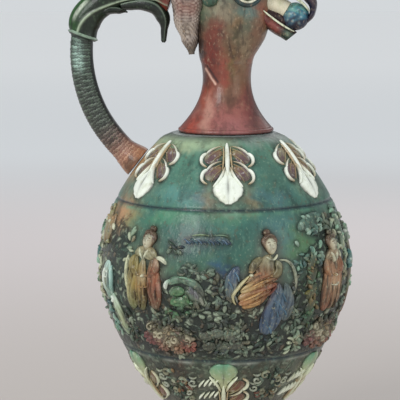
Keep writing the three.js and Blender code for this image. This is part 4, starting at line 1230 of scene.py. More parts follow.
def seated_figure(sprig):
    """A trunk, knees drawn across under flame-like folds of a draped cloth with a cream hem, a blue
    cushion, a trailing blue skirt, arms, a scarf and a head."""
    gold, rust, ember = rgb(176, 128, 62), rgb(140, 52, 28), rgb(168, 84, 38)
    deep = [rgb(38, 68, 108), rgb(34, 52, 88), rgb(38, 56, 70)]
    sprig.lobe([(-13, 14), (-17.6, 4), (-16.6, -9)], 4.2, 2.0, faded(*deep), 0.5, 0.45, folds=3)
    sprig.lobe([(-20, 9), (-20.6, 0), (-19, -8)], 1.8, 1.8, rgb(52, 84, 96), 0.5, 0.45, folds=2)
    falls = [
        [
            [(19, 2), (21, -10), (18, -24)], 5.0, 2.1,
            faded(rgb(62, 88, 86), rgb(50, 70, 96), rgb(50, 60, 60)), 3
        ],
        [[(14, 2), (12, -12), (5, -33)], 7.4, 2.5, faded(rgb(58, 98, 120), deep[0], deep[1]), 3],
        [[(8, 21), (5, 13), (3, 4)], 6.6, 2.8, faded(rgb(112, 108, 66), rgb(140, 84, 54)), 3],
        [[(13, 10), (4, 8), (-8, 3)], 3.7, 3.0, faded(rgb(96, 116, 64), ember, gold), 2],
        [[(14, 6), (2, 3), (-12, -2.6)], 3.6, 3.2, faded(rust, gold, rgb(214, 190, 130)), 2],
        [[(13, 2), (1, -1.6), (-13.6, -7)], 3.6, 3.3, faded(ember, rust, gold), 2],
        [[(10, -2), (-2, -6.6), (-13, -10.6)], 3.4, 3.2, faded(rust, gold, ember), 2],
        [[(6, -5.6), (-3, -10.4), (-10.6, -12.8)], 2.4, 3.0, faded(rgb(150, 70, 40), gold, gold), 2],
    ]
    olive = rgb(108, 100, 62)
    sleeves = [
        [[(3, 19), (-2.6, 15), (-5, 9)], 2.9, 3.4, olive], [[(12, 17), (13.6, 10), (8, 6)], 2.9, 3.5, olive]
    ]
    robed(sprig, falls, sleeves, (-5, 8))
    sprig.lobe([(-6, 8), (-13, 1), (-16.8, -5), (-14.6, -11)], 1.3, 3.4, rgb(226, 216, 160))
    dark = [[(10, 8), (0, 5), (-7, 0.6)], [(11, 4), (0, 0.6), (-9, -4)], [(9, 0), (-2, -4.4), (-10, -8)],
            [(5, -4.4), (-3, -8.6), (-9, -11)], [(12, 1), (8, -3), (2, -6.4)], [(1, 9), (-5, 6), (-10, 3)]]
    for points in dark:
        sprig.lobe(points, 0.75, 3.9, rgb(84, 30, 20))
    for points in (
        [(4, -1), (-4, -5), (-11, -8)], [(6, 5.4), (-1, 3), (-6, 0)], [(2, -7), (-4, -9.6), (-8, -10.8)]
    ):
        sprig.lobe(points, 0.8, 3.9, rgb(226, 186, 126))
    for u, v, shade in (
        (12, -4, 1), (18, -8, 0.6), (13, -18, 0.8), (19, -18, 0.7), (9, -29, 1), (6, -24, 0.5),
        (15, -13, 1.1), (11, -11, 0.4), (-18, 2, 0.9), (-15, -6, 0.5), (-14, 8, 1)
    ):
        sprig.lobe([(u - 2, v + 3), (u, v), (u + 1, v - 4)], 0.8, 2.9, rgb(96, 134, 156) * shade)
    sprig.lobe([(14, 17), (21, 15.6), (26, 7), (24.5, -7)], 1.1, 2.1, rgb(190, 194, 166), 0.5, 0.5, folds=1)
    sprig.lobe([(13, 21), (9, 17.4), (5, 20)], 0.8, 4.0, CREAM)
    sprig.head(8.6, 27, 1.14, 0.16, -1)


def streamer(sprig):
    """Cloth that billows in teal folds with a rolled white edge, and then falls in a narrow pale fold."""
    teal = rgb(50, 92, 92)
    sprig.lobe(
        [(2, 3), (7, -8), (10, -26)], 4.4, 2.4,
        faded(rgb(128, 168, 138), rgb(206, 222, 180), rgb(150, 176, 140)), 0.5, 0.45, folds=2
    )
    sprig.lobe(
        [(-1, 24.6), (-3, 12), (0, -1.6)], 7.4, 2.6, faded(rgb(196, 226, 214), teal, rgb(120, 164, 140)),
        0.5, 0.42, folds=3
    )
    sprig.lobe([(-6, 20), (-7.6, 11), (-3, 2)], 2.2, 3.2, faded(WHITE, WHITE, rgb(120, 170, 160)))
    sprig.lobe([(3, 22), (4, 12), (2, 5)], 1.2, 3.2, rgb(176, 220, 206))
    for path in (
        [(-2.6, 18), (-3.4, 10), (0, 4)], [(1.6, 20), (0.6, 13), (1.6, 7)],
        [(5.6, -4), (8.4, -14), (11.6, -22)]
    ):
        sprig.lobe(path, 0.8, 3.0, rgb(24, 40, 42))
    sprig.curl(-2.5, 15, 3.0, 0.4, WHITE, 1, 0.9, 3.4)
    sprig.curl(3.5, -1, 2.4, 2.4, WHITE, -1, 0.9, 3.2)


def tree(sprig):
    """A bent trunk with rounded masses of leaves."""
    sprig.lobe([(0, -30), (-3, -8), (0, 12), (2, 30)], 2.5, 2.3, BROWN, 0.5, 0.3, folds=2)
    masses = [
        [[(-7, 22), (0, 28), (7, 32)], 5.9, 2.8, GREEN],
        [[(-8, 6), (0, 9), (8, 15)], 6.4, 3.3, TEAL],
        [[(-3, -15), (4, -7), (9, 0)], 4.4, 2.4, GREEN],
    ]
    for path, width, high, colour in masses:
        sprig.lobe(path, width, high, colour * 0.6, 0.5, 0.5)
        sprig.leaves(16, (8, width), [WHITE, CREAM, colour, MINT], 4.6, 1.4, 3.0, centre=path[1])


def sapling(sprig):
    """A thin dark stem with small masses of leaves."""
    sprig.lobe([(1, -30), (-1, -6), (1, 24)], 1.1, 1.8, rgb(92, 88, 58), 0.5, 0.3)
    for v in (17, 8, -2, -12, -20):
        sprig.lobe([(-4, v - 5), (0, v), (4, v + 5)], 3.3, 1.8, rgb(46, 62, 50), 0.5, 0.5)
        sprig.leaves(
            7, (5.4, 5), [GREEN * 0.8, rgb(96, 132, 108), OLIVE * 0.6, TAN * 0.7, DARK], 4.2, 1.2, 2.4,
            centre=(0, v)
        )


def cloud_band(sprig):
    """A low bank of dark blue strokes under a broken pale line."""
    sprig.lobe([(-15, -1), (-5, 2), (5, 1)], 2.4, 0.9, rgb(44, 66, 76), 0.5, 0.5)
    sprig.lobe([(-3, 0), (7, 2), (15, -1)], 2.6, 0.9, rgb(42, 60, 76), 0.5, 0.5)
    sprig.lobe([(-11, 4), (-4, 4.9), (1, 4.4)], 0.6, 1.2, rgb(150, 172, 132))
    sprig.lobe([(3, 4.4), (8, 4.8), (13, 4)], 0.5, 1.1, rgb(132, 160, 130))
    for k in range(11):
        u = -14 + 2.7 * k
        colour = (rgb(96, 122, 150), NAVY, rgb(60, 100, 110))[k % 3]
        sprig.lobe([(u - 2.4, 1.8), (u, 0.6 + 0.4 * (k % 2)), (u + 2.2, -1.8)], 0.7, 1.5, colour)


def rosettes(sprig):
    """Round flowers, mauve to the left and red to the right, with dark rimmed curls over a leafy clump."""
    sprig.lobe([(-18, -2), (0, 1), (17, -4)], 8, 1.6, rgb(38, 36, 34))
    sprig.leaves(
        30, (18, 11), [rgb(134, 126, 104), rgb(92, 108, 88), DARK, MAUVE * 0.8, rgb(52, 40, 40)], 5.2, 1.4,
        2.4, centre=(0, 3)
    )
    flowers = [
        [-14, -1, 6.2, 5, rgb(152, 100, 96), rgb(92, 48, 52)],
        [-5, -5.6, 5.4, 5, rgb(170, 128, 108), rgb(104, 56, 50)],
        [-8.6, 8.6, 5, 5, rgb(128, 122, 98), rgb(56, 50, 46)],
        [2, 4.4, 5.4, 5, rgb(176, 156, 120), rgb(70, 50, 42)],
        [5, -6.6, 5.6, 6, rgb(180, 140, 110), rgb(98, 52, 44)],
        [13.4, -4, 6, 6, rgb(170, 104, 88), rgb(112, 44, 42)],
        [10, 5, 4.6, 5, rgb(120, 120, 98), rgb(58, 48, 46)],
    ]
    for u, v, size, count, outer, inner in flowers:
        sprig.flower(u, v, size, count, outer, inner, 2.9)
    for u, v, turn in ((-5, 2, 0.6), (5, 0, 2.4), (-9, 3, 3.8), (14, 1, 5.0), (-12, 8, 1.4), (0, -3, 4.4)):
        sprig.curl(u, v, 2.4, turn, rgb(206, 200, 170), 1, 0.75, 3.7)


def ledge(sprig):
    """Small rounded rocks in two rows, with pale edges and leaves between."""
    rocks = (
        (-11, 3, 3.4, rgb(70, 76, 66)), (-4, 5, 4.2, rgb(58, 66, 60)), (4, 3, 3.6, rgb(66, 62, 60)),
        (-9, -5, 4, rgb(54, 66, 56)), (0, -5, 4.4, rgb(66, 74, 60)), (9, -4, 3.8, rgb(58, 60, 62))
    )
    for u, v, w, colour in rocks:
        sprig.lobe([(u - 4.4, v - 1), (u, v + 1), (u + 4, v - 0.6)], w, 1.9, colour, 0.5, 0.45, folds=2)
        sprig.lobe(
            [(u - 3, v + w * 0.6), (u, v + w * 0.9), (u + 2.4, v + w * 0.6)], 0.5, 2.2, rgb(120, 136, 116)
        )
    sprig.leaves(26, (15, 9), [rgb(70, 84, 70), DARK, rgb(92, 84, 70), rgb(128, 142, 122)], 4.4, 1.1, 2.4)


def hill(sprig):
    """A green slope under a crest of overlapping mounds whose left end curls over in white, with grey
    rocks."""
    sprig.lobe([(-13, -2), (-8, 1), (-3, 0)], 3.6, 1.9, rgb(62, 116, 68), 0.5, 0.45, folds=2)
    sprig.lobe(
        [(-13, -8), (-6, -6), (0, -8)], 3.6, 1.8, faded(rgb(72, 136, 78), rgb(56, 86, 60)), 0.5, 0.45,
        folds=2
    )
    sprig.lobe(
        [(-3, 1), (3, -1), (8, -6)], 4.2, 1.9, faded(rgb(56, 84, 64), rgb(60, 72, 66)), 0.5, 0.45, folds=2
    )
    sprig.lobe(
        [(-14, 5), (-9, 8.4), (-3, 7.4)], 2.8, 2.3, faded(rgb(70, 118, 92), rgb(36, 58, 48)), 0.5, 0.45,
        folds=2
    )
    sprig.lobe(
        [(-5, 8), (1, 7.4), (7, 3), (10, -2)], 2.9, 2.2, faded(rgb(56, 92, 74), rgb(38, 54, 52)), 0.4, 0.45,
        folds=2
    )
    sprig.lobe([(-15.8, 1.6), (-15.6, 5.4), (-12, 8)], 1.6, 2.8, faded(WHITE, WHITE, MINT), 0.45, 0.4)
    sprig.lobe([(-9, 9.8), (-2, 10), (4, 7.4)], 0.7, 2.6, rgb(150, 196, 166))
    rocks = (
        (2, 2, 1.8, rgb(120, 116, 128)), (5, -0.6, 1.6, rgb(140, 138, 142)),
        (8.6, -4.6, 1.2, rgb(186, 190, 168)), (5.6, -7.6, 1.1, rgb(120, 116, 96)),
        (-1, -4, 1.2, rgb(96, 148, 92))
    )
    for u, v, w, colour in rocks:
        sprig.lobe([(u - 1.4, v + 3), (u, v), (u + 1, v - 3.4)], w, 2.6, colour, folds=1)
    sprig.leaves(10, (11, 6), [rgb(60, 120, 72), DARK, rgb(120, 160, 124)], 3.6, 0.9, 2.3, centre=(-2, -5))


def leafy(sprig, masses, colours):
    """Low mounds with leaves strewn over them."""
    for path, width in masses:
        sprig.lobe(path, width, 1.9, colours[0] * 0.6, 0.5, 0.45)
        middle = np.mean(path, axis=0)
        reach = np.ptp(np.array(path), axis=0) / 2
        sprig.leaves(
            12, (reach[0] + width * 0.6, reach[1] + width * 0.5), colours, 4.8, 1.5, 2.4, centre=middle
        )


def side_leaves(sprig):
    """Cream and tan leaves in two upright masses."""
    leafy(
        sprig, [([(-6, -12), (-4, 0), (-6, 13)], 5.0), ([(3, -9), (3, 2), (5, 11)], 4.5)],
        [TAN, CREAM, rgb(150, 148, 104), DARK]
    )


def leaf_spray(sprig):
    """Cool green leaves in a low spray."""
    leafy(
        sprig, [([(-11, -3), (0, 1), (9, -1)], 4.4), ([(-3, 3), (4, 4.4), (13, 2)], 3.2)],
        [rgb(72, 112, 98), rgb(160, 190, 170), DARK]
    )


def edge_leaves(sprig):
    """Grey green and mint leaves up the scene's edge."""
    leafy(
        sprig, [([(-1, -15), (1, -2), (0, 11)], 4.0), ([(-4, -4), (-3, 4), (-1, 13)], 3.2)],
        [rgb(86, 112, 96), MINT, CREAM, DARK]
    )


pair_steps = [s * steps for steps in (0.5, 1.5, 2.5) for s in (-1, 1)]
laid = []


def lay(name, sprig, material, slot, running):
    """Keep a sprig to be made once the glazes that run off all of them are known. running is how far its
    own colours give way to theirs."""
    laid.append((name, sprig.shapes, material, slot, running))


for i, steps in enumerate(pair_steps):
    sprig = Sprig(steps * PALMETTE_STEP, PALMETTE_HEIGHT)
    palmette(sprig, WHITE, WHITE, rgb(104, 78, 84))
    lay(f"shoulder_palmette_{i + 1}", sprig, CREAMY, "cream", 0.1)
for i in range(LOWER_PALMETTES):
    sprig = Sprig(FRONT - 1 + 360 / LOWER_PALMETTES * i, LOWER_PALMETTE_HEIGHT, 0.95, -1)
    cap = faded(rgb(208, 208, 168), rgb(176, 192, 142), rgb(100, 156, 124))
    palmette(sprig, cap, CREAM, rgb(118, 62, 50), BUD, strokes=True)
    lay(f"lower_palmette_{i + 1}", sprig, CREAMY, "cream", 0.2)

PALE = [rgb(150, 176, 148), rgb(196, 204, 172), rgb(140, 124, 96), rgb(86, 108, 90)]
DEEP = [
    rgb(42, 60, 52), rgb(56, 78, 62), rgb(84, 76, 60), rgb(116, 136, 118), rgb(38, 46, 56),
    rgb(150, 164, 140)
]
COOL = [rgb(84, 124, 112), rgb(136, 176, 150), rgb(48, 74, 84), rgb(150, 176, 156)]
# Each sprig with its angle from the scene's middle and its height, and clumps of leaves strewn about it:
# angle, height, half spread round the wall and up it, number of leaves, colours
SCENE = [
    [
        "standing_figure", standing_figure, -38, 168, "robe_olive",
        [[-49, 186, 4, 14, 10, PALE], [-24, 190, 5, 8, 8, DEEP]]
    ],
    [
        "seated_figure", seated_figure, 14, 165, "robe_amber",
        [[33, 150, 4, 26, 22, DEEP], [6, 134, 7, 9, 12, DEEP]]
    ],
    ["attendant_figure", attendant, 56, 166, "robe_amber", [[56, 148, 8, 7, 8, DEEP]]],
    ["streamer", streamer, -63, 150, "cream", [[-66, 138, 6, 18, 18, COOL], [-80, 160, 8, 24, 22, PALE]]],
    [
        "tree", tree, 83, 162, "foliage",
        [[72, 146, 6, 22, 22, DEEP], [85, 124, 8, 8, 12, PALE], [70, 178, 4, 16, 16, PALE]]
    ],
    [
        "sapling", sapling, 41, 161, "foliage",
        [[41, 138, 6, 14, 18, DEEP], [46, 186, 5, 12, 14, COOL], [35, 182, 5, 10, 10, COOL]]
    ],
    ["cloud_band", cloud_band, -8, 194, "foliage", []],
    [
        "ledge", ledge, -1, 128, "ledge",
        [[0, 142, 9, 10, 20, DEEP], [3, 126, 14, 9, 26, DEEP], [20, 124, 10, 8, 18, DEEP]]
    ],
    [
        "rosettes", rosettes, -28, 128.5, "rosette",
        [[-27, 144, 12, 5, 16, DEEP], [-50, 130, 6, 14, 16, DEEP], [-28, 118, 14, 3, 8, DEEP]]
    ],
    ["edge_rosettes", rosettes, 56, 126, "rosette", [[36, 124, 8, 8, 16, PALE], [68, 122, 8, 8, 12, DEEP]]],
    [
        "hill", hill, -16, 161, "ledge",
        [
            [-12, 150, 8, 7, 14, DEEP], [-22, 146, 8, 4, 8, [GREEN, DARK]], [-3, 160, 7, 12, 22, DEEP],
            [-14, 175, 13, 4, 16, DEEP]
        ]
    ],
    ["side_leaves", side_leaves, -72, 195, "cream", [[-80, 192, 7, 16, 14, PALE]]],
    ["leaf_spray", leaf_spray, 44, 202.5, "foliage", [[56, 202, 8, 5, 12, DEEP]]],
    [
        "edge_leaves", edge_leaves, 70, 198, "foliage",
        [[64, 192, 4, 14, 12, PALE], [80, 196, 6, 12, 12, DEEP]]
    ],
]
for k in range(SCENES):
    for name, make, angle, height, slot, clumps in SCENE:
        sprig = Sprig(FRONT + angle + 360 / SCENES * k, height)
        make(sprig)
        for angle, height, side, up, count, colours in clumps:
            clump = Sprig(FRONT + angle + 360 / SCENES * k, height)
            clump.leaves(count, (side, up), colours, 5.4, 1.35, 1.7)
            sprig.shapes += clump.shapes
        lay(f"{name}_{k + 1}", sprig, CREAMY if slot == "cream" else SPRIG, slot, 0.5)

# Leaves and tendrils in low relief on the wall itself, between the standing palmettes
TENDRILS = [[-6, 11, 3.2, 0.5, 1], [5, 5, 3.0, 2.6, -1], [-4, -5, 2.6, 4.0, 1], [6, -12, 2.2, 1.4, -1]]
wall_relief = []
for i in range(LOWER_PALMETTES):
    between = Sprig(FRONT - 1 + 360 / LOWER_PALMETTES * (i + 0.5), LOWER_PALMETTE_HEIGHT)
    between.leaves(30, (10, 17), [*DEEP, TAN * 0.8, rgb(120, 74, 58), rgb(172, 172, 146)], 4.6, 1.15, 1.4)
    for u, v, size, turn, hand in TENDRILS:
        between.curl(u, v, size, turn, rgb(158, 156, 128), hand, 0.8, 1.6)
    wall_relief += between.shapes

# Belly and foot

# Cells of the prints: columns round the wall, one row a millimetre, and the wall's mean radius
PRINT_COLUMNS, PRINT_ROWS = 720, 300
PRINT_RADIUS = 75


def spread_print(points, size, values=None, drop=0.0):
    """How much of the wall near each place is covered: the points, or their values, summed in cells of
    angle and height, then blurred by a Gaussian of the given size in millimetres and moved down by drop,
    through the Fourier transform."""
    angle = np.degrees(np.arctan2(points[:, 1], points[:, 0])) % 360
    span = [[0, 360], [0, PRINT_ROWS]]
    cells = np.histogram2d(
        angle, points[:, 2], bins=(PRINT_COLUMNS, PRINT_ROWS), range=span, weights=values
    )[0]
    if values is None:
        cells = cells > 0
    per_cell = 2 * math.pi * PRINT_RADIUS / PRINT_COLUMNS
    round_it = np.fft.fftfreq(PRINT_COLUMNS)[:, None]
    up = np.fft.fftfreq(PRINT_ROWS)[None]
    waves = (round_it / per_cell) ** 2 + up**2
    blur = np.exp(-2 * math.pi**2 * size**2 * waves + 2j * math.pi * up * drop)
    return np.fft.ifft2(np.fft.fft2(cells) * blur).real


def sampled(cells, angle, z):
    """The cells' value at each angle and height, the nearest one."""
    column = np.floor(angle % 360 / 360 * PRINT_COLUMNS).astype(int) % PRINT_COLUMNS
    return cells[column, np.clip(z, 0, PRINT_ROWS - 1).astype(int)]


def glaze_run(points, colours, size, drop):
    """The mean colour of what lies near each place, blurred and moved down the wall as glaze runs."""
    share = np.ones(len(points))
    total = np.maximum(spread_print(points, size, share, drop), 1e-3)
    return np.stack([spread_print(points, size, colours[:, i], drop) / total for i in range(3)], axis=-1)


relief_shapes = [shape for row in laid for shape in row[1]] + wall_relief
covered = np.concatenate([shape.vertices for shape in relief_shapes])
colours = np.concatenate([shape.colour for shape in relief_shapes])
edge_print = spread_print(covered, 1.2)
near_print = spread_print(covered, 3.5, drop=1.5)
run_close = glaze_run(covered, colours, 2.2, 1.0)
run_far = glaze_run(covered, colours, 4.0, 3.0)
for name, shapes, material, slot, running in laid:
    for shape in shapes:
        x, y, z = shape.vertices.T
        shape.colour = blend(
            shape.colour, sampled(run_close, np.degrees(np.arctan2(y, x)), z), running + 0 * x
        )
    piece(name, shapes, material)

WALL_BANDS = [
    (50, rgb(92, 92, 72)),
    (80, rgb(78, 80, 64)),
    (112, rgb(72, 80, 66)),
    (118, rgb(70, 84, 74)),
    (140, rgb(66, 82, 72)),
    (160, rgb(62, 90, 74)),
    (176, rgb(62, 104, 88)),
    (212, rgb(68, 114, 100)),
    (236, rgb(78, 126, 112)),
    (250, rgb(92, 136, 116)),
    (256, rgb(128, 146, 134)),
]
# Angle from the scene's middle, height, half sizes in degrees and millimetres, colour, amount
WALL_PATCHES = [
    [-26, 207, 13, 6, rgb(84, 152, 114), 0.7],
    [-4, 209, 20, 4, rgb(96, 138, 100), 0.6],
    [-14, 200, 16, 9, rgb(62, 104, 94), 0.6],
    [-18, 196, 12, 10, rgb(64, 106, 96), 0.8],
    [10, 202, 12, 8, rgb(74, 130, 118), 0.6],
    [28, 200, 12, 12, rgb(80, 122, 124), 0.8],
    [38, 190, 10, 14, rgb(88, 130, 76), 0.8],
    [-14, 168, 12, 12, rgb(76, 136, 84), 0.8],
    [-16, 156, 10, 10, rgb(70, 122, 70), 0.7],
    [-3, 168, 7, 12, rgb(54, 82, 124), 0.8],
    [0, 146, 16, 10, rgb(74, 66, 58), 0.7],
    [28, 150, 10, 14, rgb(66, 92, 72), 0.6],
    [26, 124, 12, 10, rgb(58, 62, 74), 0.6],
    [40, 166, 7, 16, rgb(64, 112, 70), 0.7],
    [-56, 205, 10, 9, rgb(150, 148, 98), 0.8],
    [-66, 206, 12, 14, rgb(202, 150, 108), 0.85],
    [-62, 178, 8, 18, rgb(96, 100, 80), 0.7],
    [-80, 176, 12, 22, rgb(146, 138, 102), 0.75],
    [68, 200, 10, 10, rgb(128, 132, 112), 0.7],
    [74, 168, 9, 30, rgb(100, 106, 98), 0.6],
    [-27, 98, 5, 22, rgb(96, 60, 48), 0.85],
    [38, 100, 10, 10, rgb(72, 92, 72), 0.6],
    [58, 102, 12, 12, rgb(142, 134, 106), 0.7],
    [24, 100, 10, 9, rgb(88, 88, 66), 0.6],
    [4, 224, 14, 8, rgb(128, 132, 106), 0.4],
    [30, 232, 10, 20, rgb(70, 106, 92), 0.8],
    [-28, 236, 9, 16, rgb(90, 138, 116), 0.7],
    [-9, 217, 4, 7, rgb(148, 128, 104), 0.7],
    [13, 217, 4, 7, rgb(150, 132, 96), 0.8],
    [2, 213.5, 11, 2.6, rgb(120, 124, 104), 0.6],
    [-14, 222, 4, 5, rgb(96, 102, 112), 0.6],
    [-16, 196, 9, 16, rgb(52, 92, 84), 0.6],
    [-12, 165, 15, 13, rgb(38, 60, 50), 0.8],
    [-1, 168, 4, 12, rgb(40, 72, 132), 0.85],
    [12, 196, 12, 14, rgb(56, 98, 86), 0.6],
    [-26, 222, 12, 6, rgb(96, 150, 144), 0.6],
    [26, 221, 14, 5, rgb(78, 116, 122), 0.6],
    [-80, 240, 14, 16, rgb(204, 156, 106), 0.85],
    [-62, 246, 7, 12, rgb(166, 142, 96), 0.8],
    [-40, 250, 14, 4, rgb(190, 202, 160), 0.8],
    [76, 236, 14, 18, rgb(112, 122, 108), 0.6],
]


def from_scene(angle):
    """Degrees from the middle of the nearest scene."""
    half = 180 / SCENES
    return (angle - FRONT + half) % (2 * half) - half


def crowded(angle, z):
    """1 where the wall is crowded with small moulded leaves: over the lower half of the scene and up its
    edges, and half as much below the lower groove."""
    turned = from_scene(angle)
    u, v = wobbled(turned, z, 2.2)
    top = 170 + 36 * clamp((np.abs(u + 4) - 40) / 10) + 6 * hump((u + 12) / 14)
    scene = clamp((top - v) / 5) * clamp((z - LOWER_GROOVE - 1.5) / 1.5)
    low = 0.45 * clamp((LOWER_GROOVE - 1.5 - z) / 2) * clamp((z - 58) / 8)
    return scene + low


def wall_paint(angle, z):
    """The wall's colours by angle and height: bands, runny patches, tan halos round the palmettes, dark
    pools against every sprig, and dark ring grooves with a painted highlight line below."""
    turned = from_scene(angle)
    u, v = wobbled(turned, z, 1.5)
    colour = banded(v, WALL_BANDS)
    colour = patched(colour, u, v, WALL_PATCHES)
    halo = 0
    for steps in pair_steps:
        away = (angle - steps * PALMETTE_STEP + 180) % 360 - 180
        halo = halo + hump((away / 14.5) ** 2 + ((z - 236) / 19) ** 2)
    colour = blend(colour, rgb(140, 136, 112), 0.5 * clamp(halo))
    near = clamp(sampled(near_print, angle, z) * 1.6)
    colour = blend(colour, sampled(run_far, angle, z) * 0.75, 0.55 * near * (z < 212))
    colour = blend(colour, rgb(40, 54, 48), 0.35 * near * (z < 212))
    uneven = 0.55 + 0.35 * np.sin(0.5 * z + 0.3 * turned) * np.sin(0.37 * turned - 0.2 * z)
    colour = blend(colour, rgb(26, 34, 30), uneven * clamp(sampled(edge_print, angle, z) * 2.2))
    # Each groove is dark, with a painted highlight line just below it
    for groove, groove_highlight in ((SHOULDER_GROOVE, rgb(104, 156, 124)), (LOWER_GROOVE, rgb(170, 176, 164))):
        shown = 0.35 + 0.3 * np.sin(0.19 * turned + groove) + 0.25 * np.sin(0.53 * turned)
        colour = blend(colour, groove_highlight, clamp(shown) * hump((z - groove + 2.2) / 1.0))
        colour = blend(colour, rgb(30, 46, 58), 0.95 * hump((z - groove) / 1.1))
    colour = blend(colour, rgb(168, 190, 150), 0.7 * clamp((z - 249) / 3) * clamp((16 - turned) / 24))
    colour = blend(colour, rgb(28, 48, 46), 0.85 * clamp((z - 255.6) / 1.2))
    return blend(colour, rgb(150, 160, 158), 0.8 * (z > 258.2))


# Radius that closes an outline on the axis, and the steps up the outside and the inside of the bowls
AXIS = 0.01
OUTER_STEP = 1.05
INNER_STEP = 6


def spaced(low, high, step):
    """Heights from low to high, evenly, about a step apart."""
    return np.linspace(low, high, max(2, round((high - low) / step) + 1))


def outer_line(low, high):
    """The grooved outside of the belly, upwards, as radius and height."""
    z = spaced(low, high, OUTER_STEP)
    return list(zip(grooved_radius(z), z))


def inner_line(low, high):
    """The inside of the belly, one wall's thickness in, downwards."""
    z = spaced(high, low, -INNER_STEP)
    return list(zip(belly_radius(z) - WALL, z))


def foot_outline():
    """An upright rim with rounded edges, then a flare that rises to the waist as the 2.2th power."""
    waist = belly_radius(BELLY_FLOOR)
    t = np.linspace(0, 1, 36)
    start = FOOT_RIM + 1.2
    flare = zip(
        waist + (FOOT_RADIUS - 3 - waist) * (1 - t) ** 2.2, start + (BELLY_FLOOR - LUTE - start) * t
    )
    low = [
        (AXIS, 0), (FOOT_RADIUS - 1.6, 0), (FOOT_RADIUS - 0.6, 0.4), (FOOT_RADIUS, 1.6),
        (FOOT_RADIUS, FOOT_RIM - 1.8)
    ]
    return [
        *low, (FOOT_RADIUS - 0.5, FOOT_RIM - 0.5), (FOOT_RADIUS - 1.8, FOOT_RIM), *flare,
        (AXIS, BELLY_FLOOR - LUTE)
    ]


widest = (BELLY_RADIUS, BELLY_EQUATOR - BOWL_GAP - EDGE)
lower_outline = [
    (AXIS, BELLY_FLOOR), *outer_line(BELLY_FLOOR, BELLY_EQUATOR - 0.6), widest,
    (BELLY_RADIUS, BELLY_EQUATOR - BOWL_GAP)
]
lower_outline += [*inner_line(BELLY_FLOOR + 10, BELLY_EQUATOR - BOWL_GAP), (AXIS, BELLY_FLOOR + FLOOR)]
lip = BELLY_TOP + SHOULDER_LIP
upper_outline = [(BELLY_RADIUS, BELLY_EQUATOR + BOWL_GAP), (BELLY_RADIUS, BELLY_EQUATOR + BOWL_GAP + EDGE)]
upper_outline += [
    *outer_line(BELLY_EQUATOR + 0.6, BELLY_TOP - 1.2), (belly_radius(BELLY_TOP) - 1.2, BELLY_TOP + 0.4)
]
upper_outline += [
    (SHOULDER_FLAT + 2, lip - 0.6), (SHOULDER_FLAT, lip), (SHOULDER_BORE, lip),
    (SHOULDER_BORE, BELLY_TOP - 2)
]
upper_outline += inner_line(BELLY_EQUATOR + BOWL_GAP, BELLY_TOP - WALL)
piece("foot", [revolved(foot_outline(), wall_paint, 360, crowded)], BODY)
for shape in wall_relief:
    shape.relief = 0.3 * shape.relief
piece("belly_lower", [revolved(lower_outline, wall_paint, 480, crowded), *wall_relief], BODY)
piece("belly_upper", [revolved(upper_outline, wall_paint, 480, crowded)], BODY)

# Studio


def matt(name):
    """A matt pale paper with painted shade: a little darker and warmer round the foot than far off."""
    paper = Glaze(name, 0.0)
    paper.shader.inputs["Specular IOR Level"].default_value = 0.1
    away = paper.node("VectorMath", {0: paper.point}, output="Value", operation="LENGTH")
    # Painted shade: darker and warmer near the foot
    colour = paper.mix(away.step(0.2, 1.2), rgb(197, 189, 183), rgb(216, 208, 206))
    colour = paper.mix(away.step(1.0, 2.5), colour, rgb(238, 239, 239))
    paper.set("Base Color", paper.mix(away.step(2.5, 8.0), colour, rgb(247, 247, 246)))
    paper.shader.inputs["Roughness"].default_value = 0.9
    return paper.material


def staged(name, corners, material):
    """A flat four-sided sheet of the studio, corners in metres."""
    mesh = bpy.data.meshes.new(name)
    mesh.from_pydata(corners, [], [(0, 1, 2, 3)])
    mesh.materials.append(material)
    obj = bpy.data.objects.new(name, mesh)
    bpy.context.scene.collection.objects.link(obj)


staged("floor", [(-90, -90, 0), (90, -90, 0), (90, 90, 0), (-90, 90, 0)], matt("floor_paper"))


def panel(name, at, aim, size, power):
    """A soft rectangular lamp at one point aimed at another, metres and watts."""
    lamp = bpy.data.lights.new(name, "AREA")
    lamp.shape = "RECTANGLE"
    lamp.size, lamp.size_y = size
    lamp.energy = power
    obj = bpy.data.objects.new(name, lamp)
    obj.location = at
    obj.rotation_euler = (Vector(aim) - Vector(at)).to_track_quat("-Z", "Y").to_euler()
    bpy.context.scene.collection.objects.link(obj)


LAMP_AIM = (0, 0, 0.22)
panel("key", (-0.75, -1.2, 0.95), LAMP_AIM, (0.5, 0.8), 9)
panel("fill", (1.2, -1.0, 0.5), LAMP_AIM, (0.9, 0.9), 3)
panel("back", (0.2, 1.3, 1.0), LAMP_AIM, (1.2, 0.8), 3)

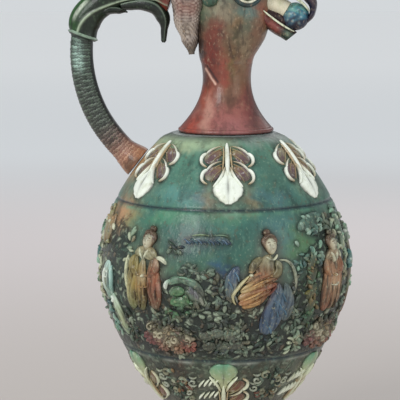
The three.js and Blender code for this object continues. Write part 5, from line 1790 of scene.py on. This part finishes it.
SKY_SEEN = rgb(211, 215, 218)
SKY_LIGHT = 0.86
SKY_MIRRORED = 0.3

world = bpy.data.worlds.new("studio")
world.use_nodes = True
nodes, links = world.node_tree.nodes, world.node_tree.links
rays = nodes.new("ShaderNodeLightPath")


def sky(colour, strength):
    """A plain background light."""
    background = nodes.new("ShaderNodeBackground")
    background.inputs["Color"].default_value = (*np.asarray(colour).tolist(), 1.0)
    background.inputs["Strength"].default_value = strength
    return background.outputs[0]


def chosen(ray, otherwise, when):
    """One background where the ray is of a kind, the other one elsewhere."""
    mixed = nodes.new("ShaderNodeMixShader")
    links.new(rays.outputs[ray], mixed.inputs[0])
    links.new(otherwise, mixed.inputs[1])
    links.new(when, mixed.inputs[2])
    return mixed.outputs[0]


lit = chosen("Is Glossy Ray", sky(rgb(236, 240, 244), SKY_LIGHT), sky(rgb(236, 240, 244), SKY_MIRRORED))
links.new(chosen("Is Camera Ray", lit, sky(SKY_SEEN, 1.0)), nodes["World Output"].inputs["Surface"])
bpy.context.scene.world = world

# Camera: a long lens, 7.7 degrees down, the beak turned 5 degrees towards it
CAMERA_DISTANCE = 1003 * MM
TILT = math.radians(7.7)
TURN = math.radians(5)
CAMERA_AIM_LEFT = 16.8 * MM
CAMERA_AIM_HEIGHT = 210.7 * MM
FIELD_OF_VIEW = math.radians(15.9)

right = np.array([math.cos(TURN), math.sin(TURN), 0])
forward = np.array([-math.sin(TURN) * math.cos(TILT), math.cos(TURN) * math.cos(TILT), -math.sin(TILT)])
aim = np.array([0, 0, CAMERA_AIM_HEIGHT]) - CAMERA_AIM_LEFT * right
camera = bpy.data.cameras.new("camera")
camera.sensor_width = 36
camera.lens = 18 / math.tan(FIELD_OF_VIEW / 2)
viewer = bpy.data.objects.new("camera", camera)
viewer.location = (aim - CAMERA_DISTANCE * forward).tolist()
viewer.rotation_euler = Vector(forward.tolist()).to_track_quat("-Z", "Y").to_euler()
bpy.context.scene.collection.objects.link(viewer)
bpy.context.scene.camera = viewer
bpy.context.scene.view_settings.view_transform = "Standard"
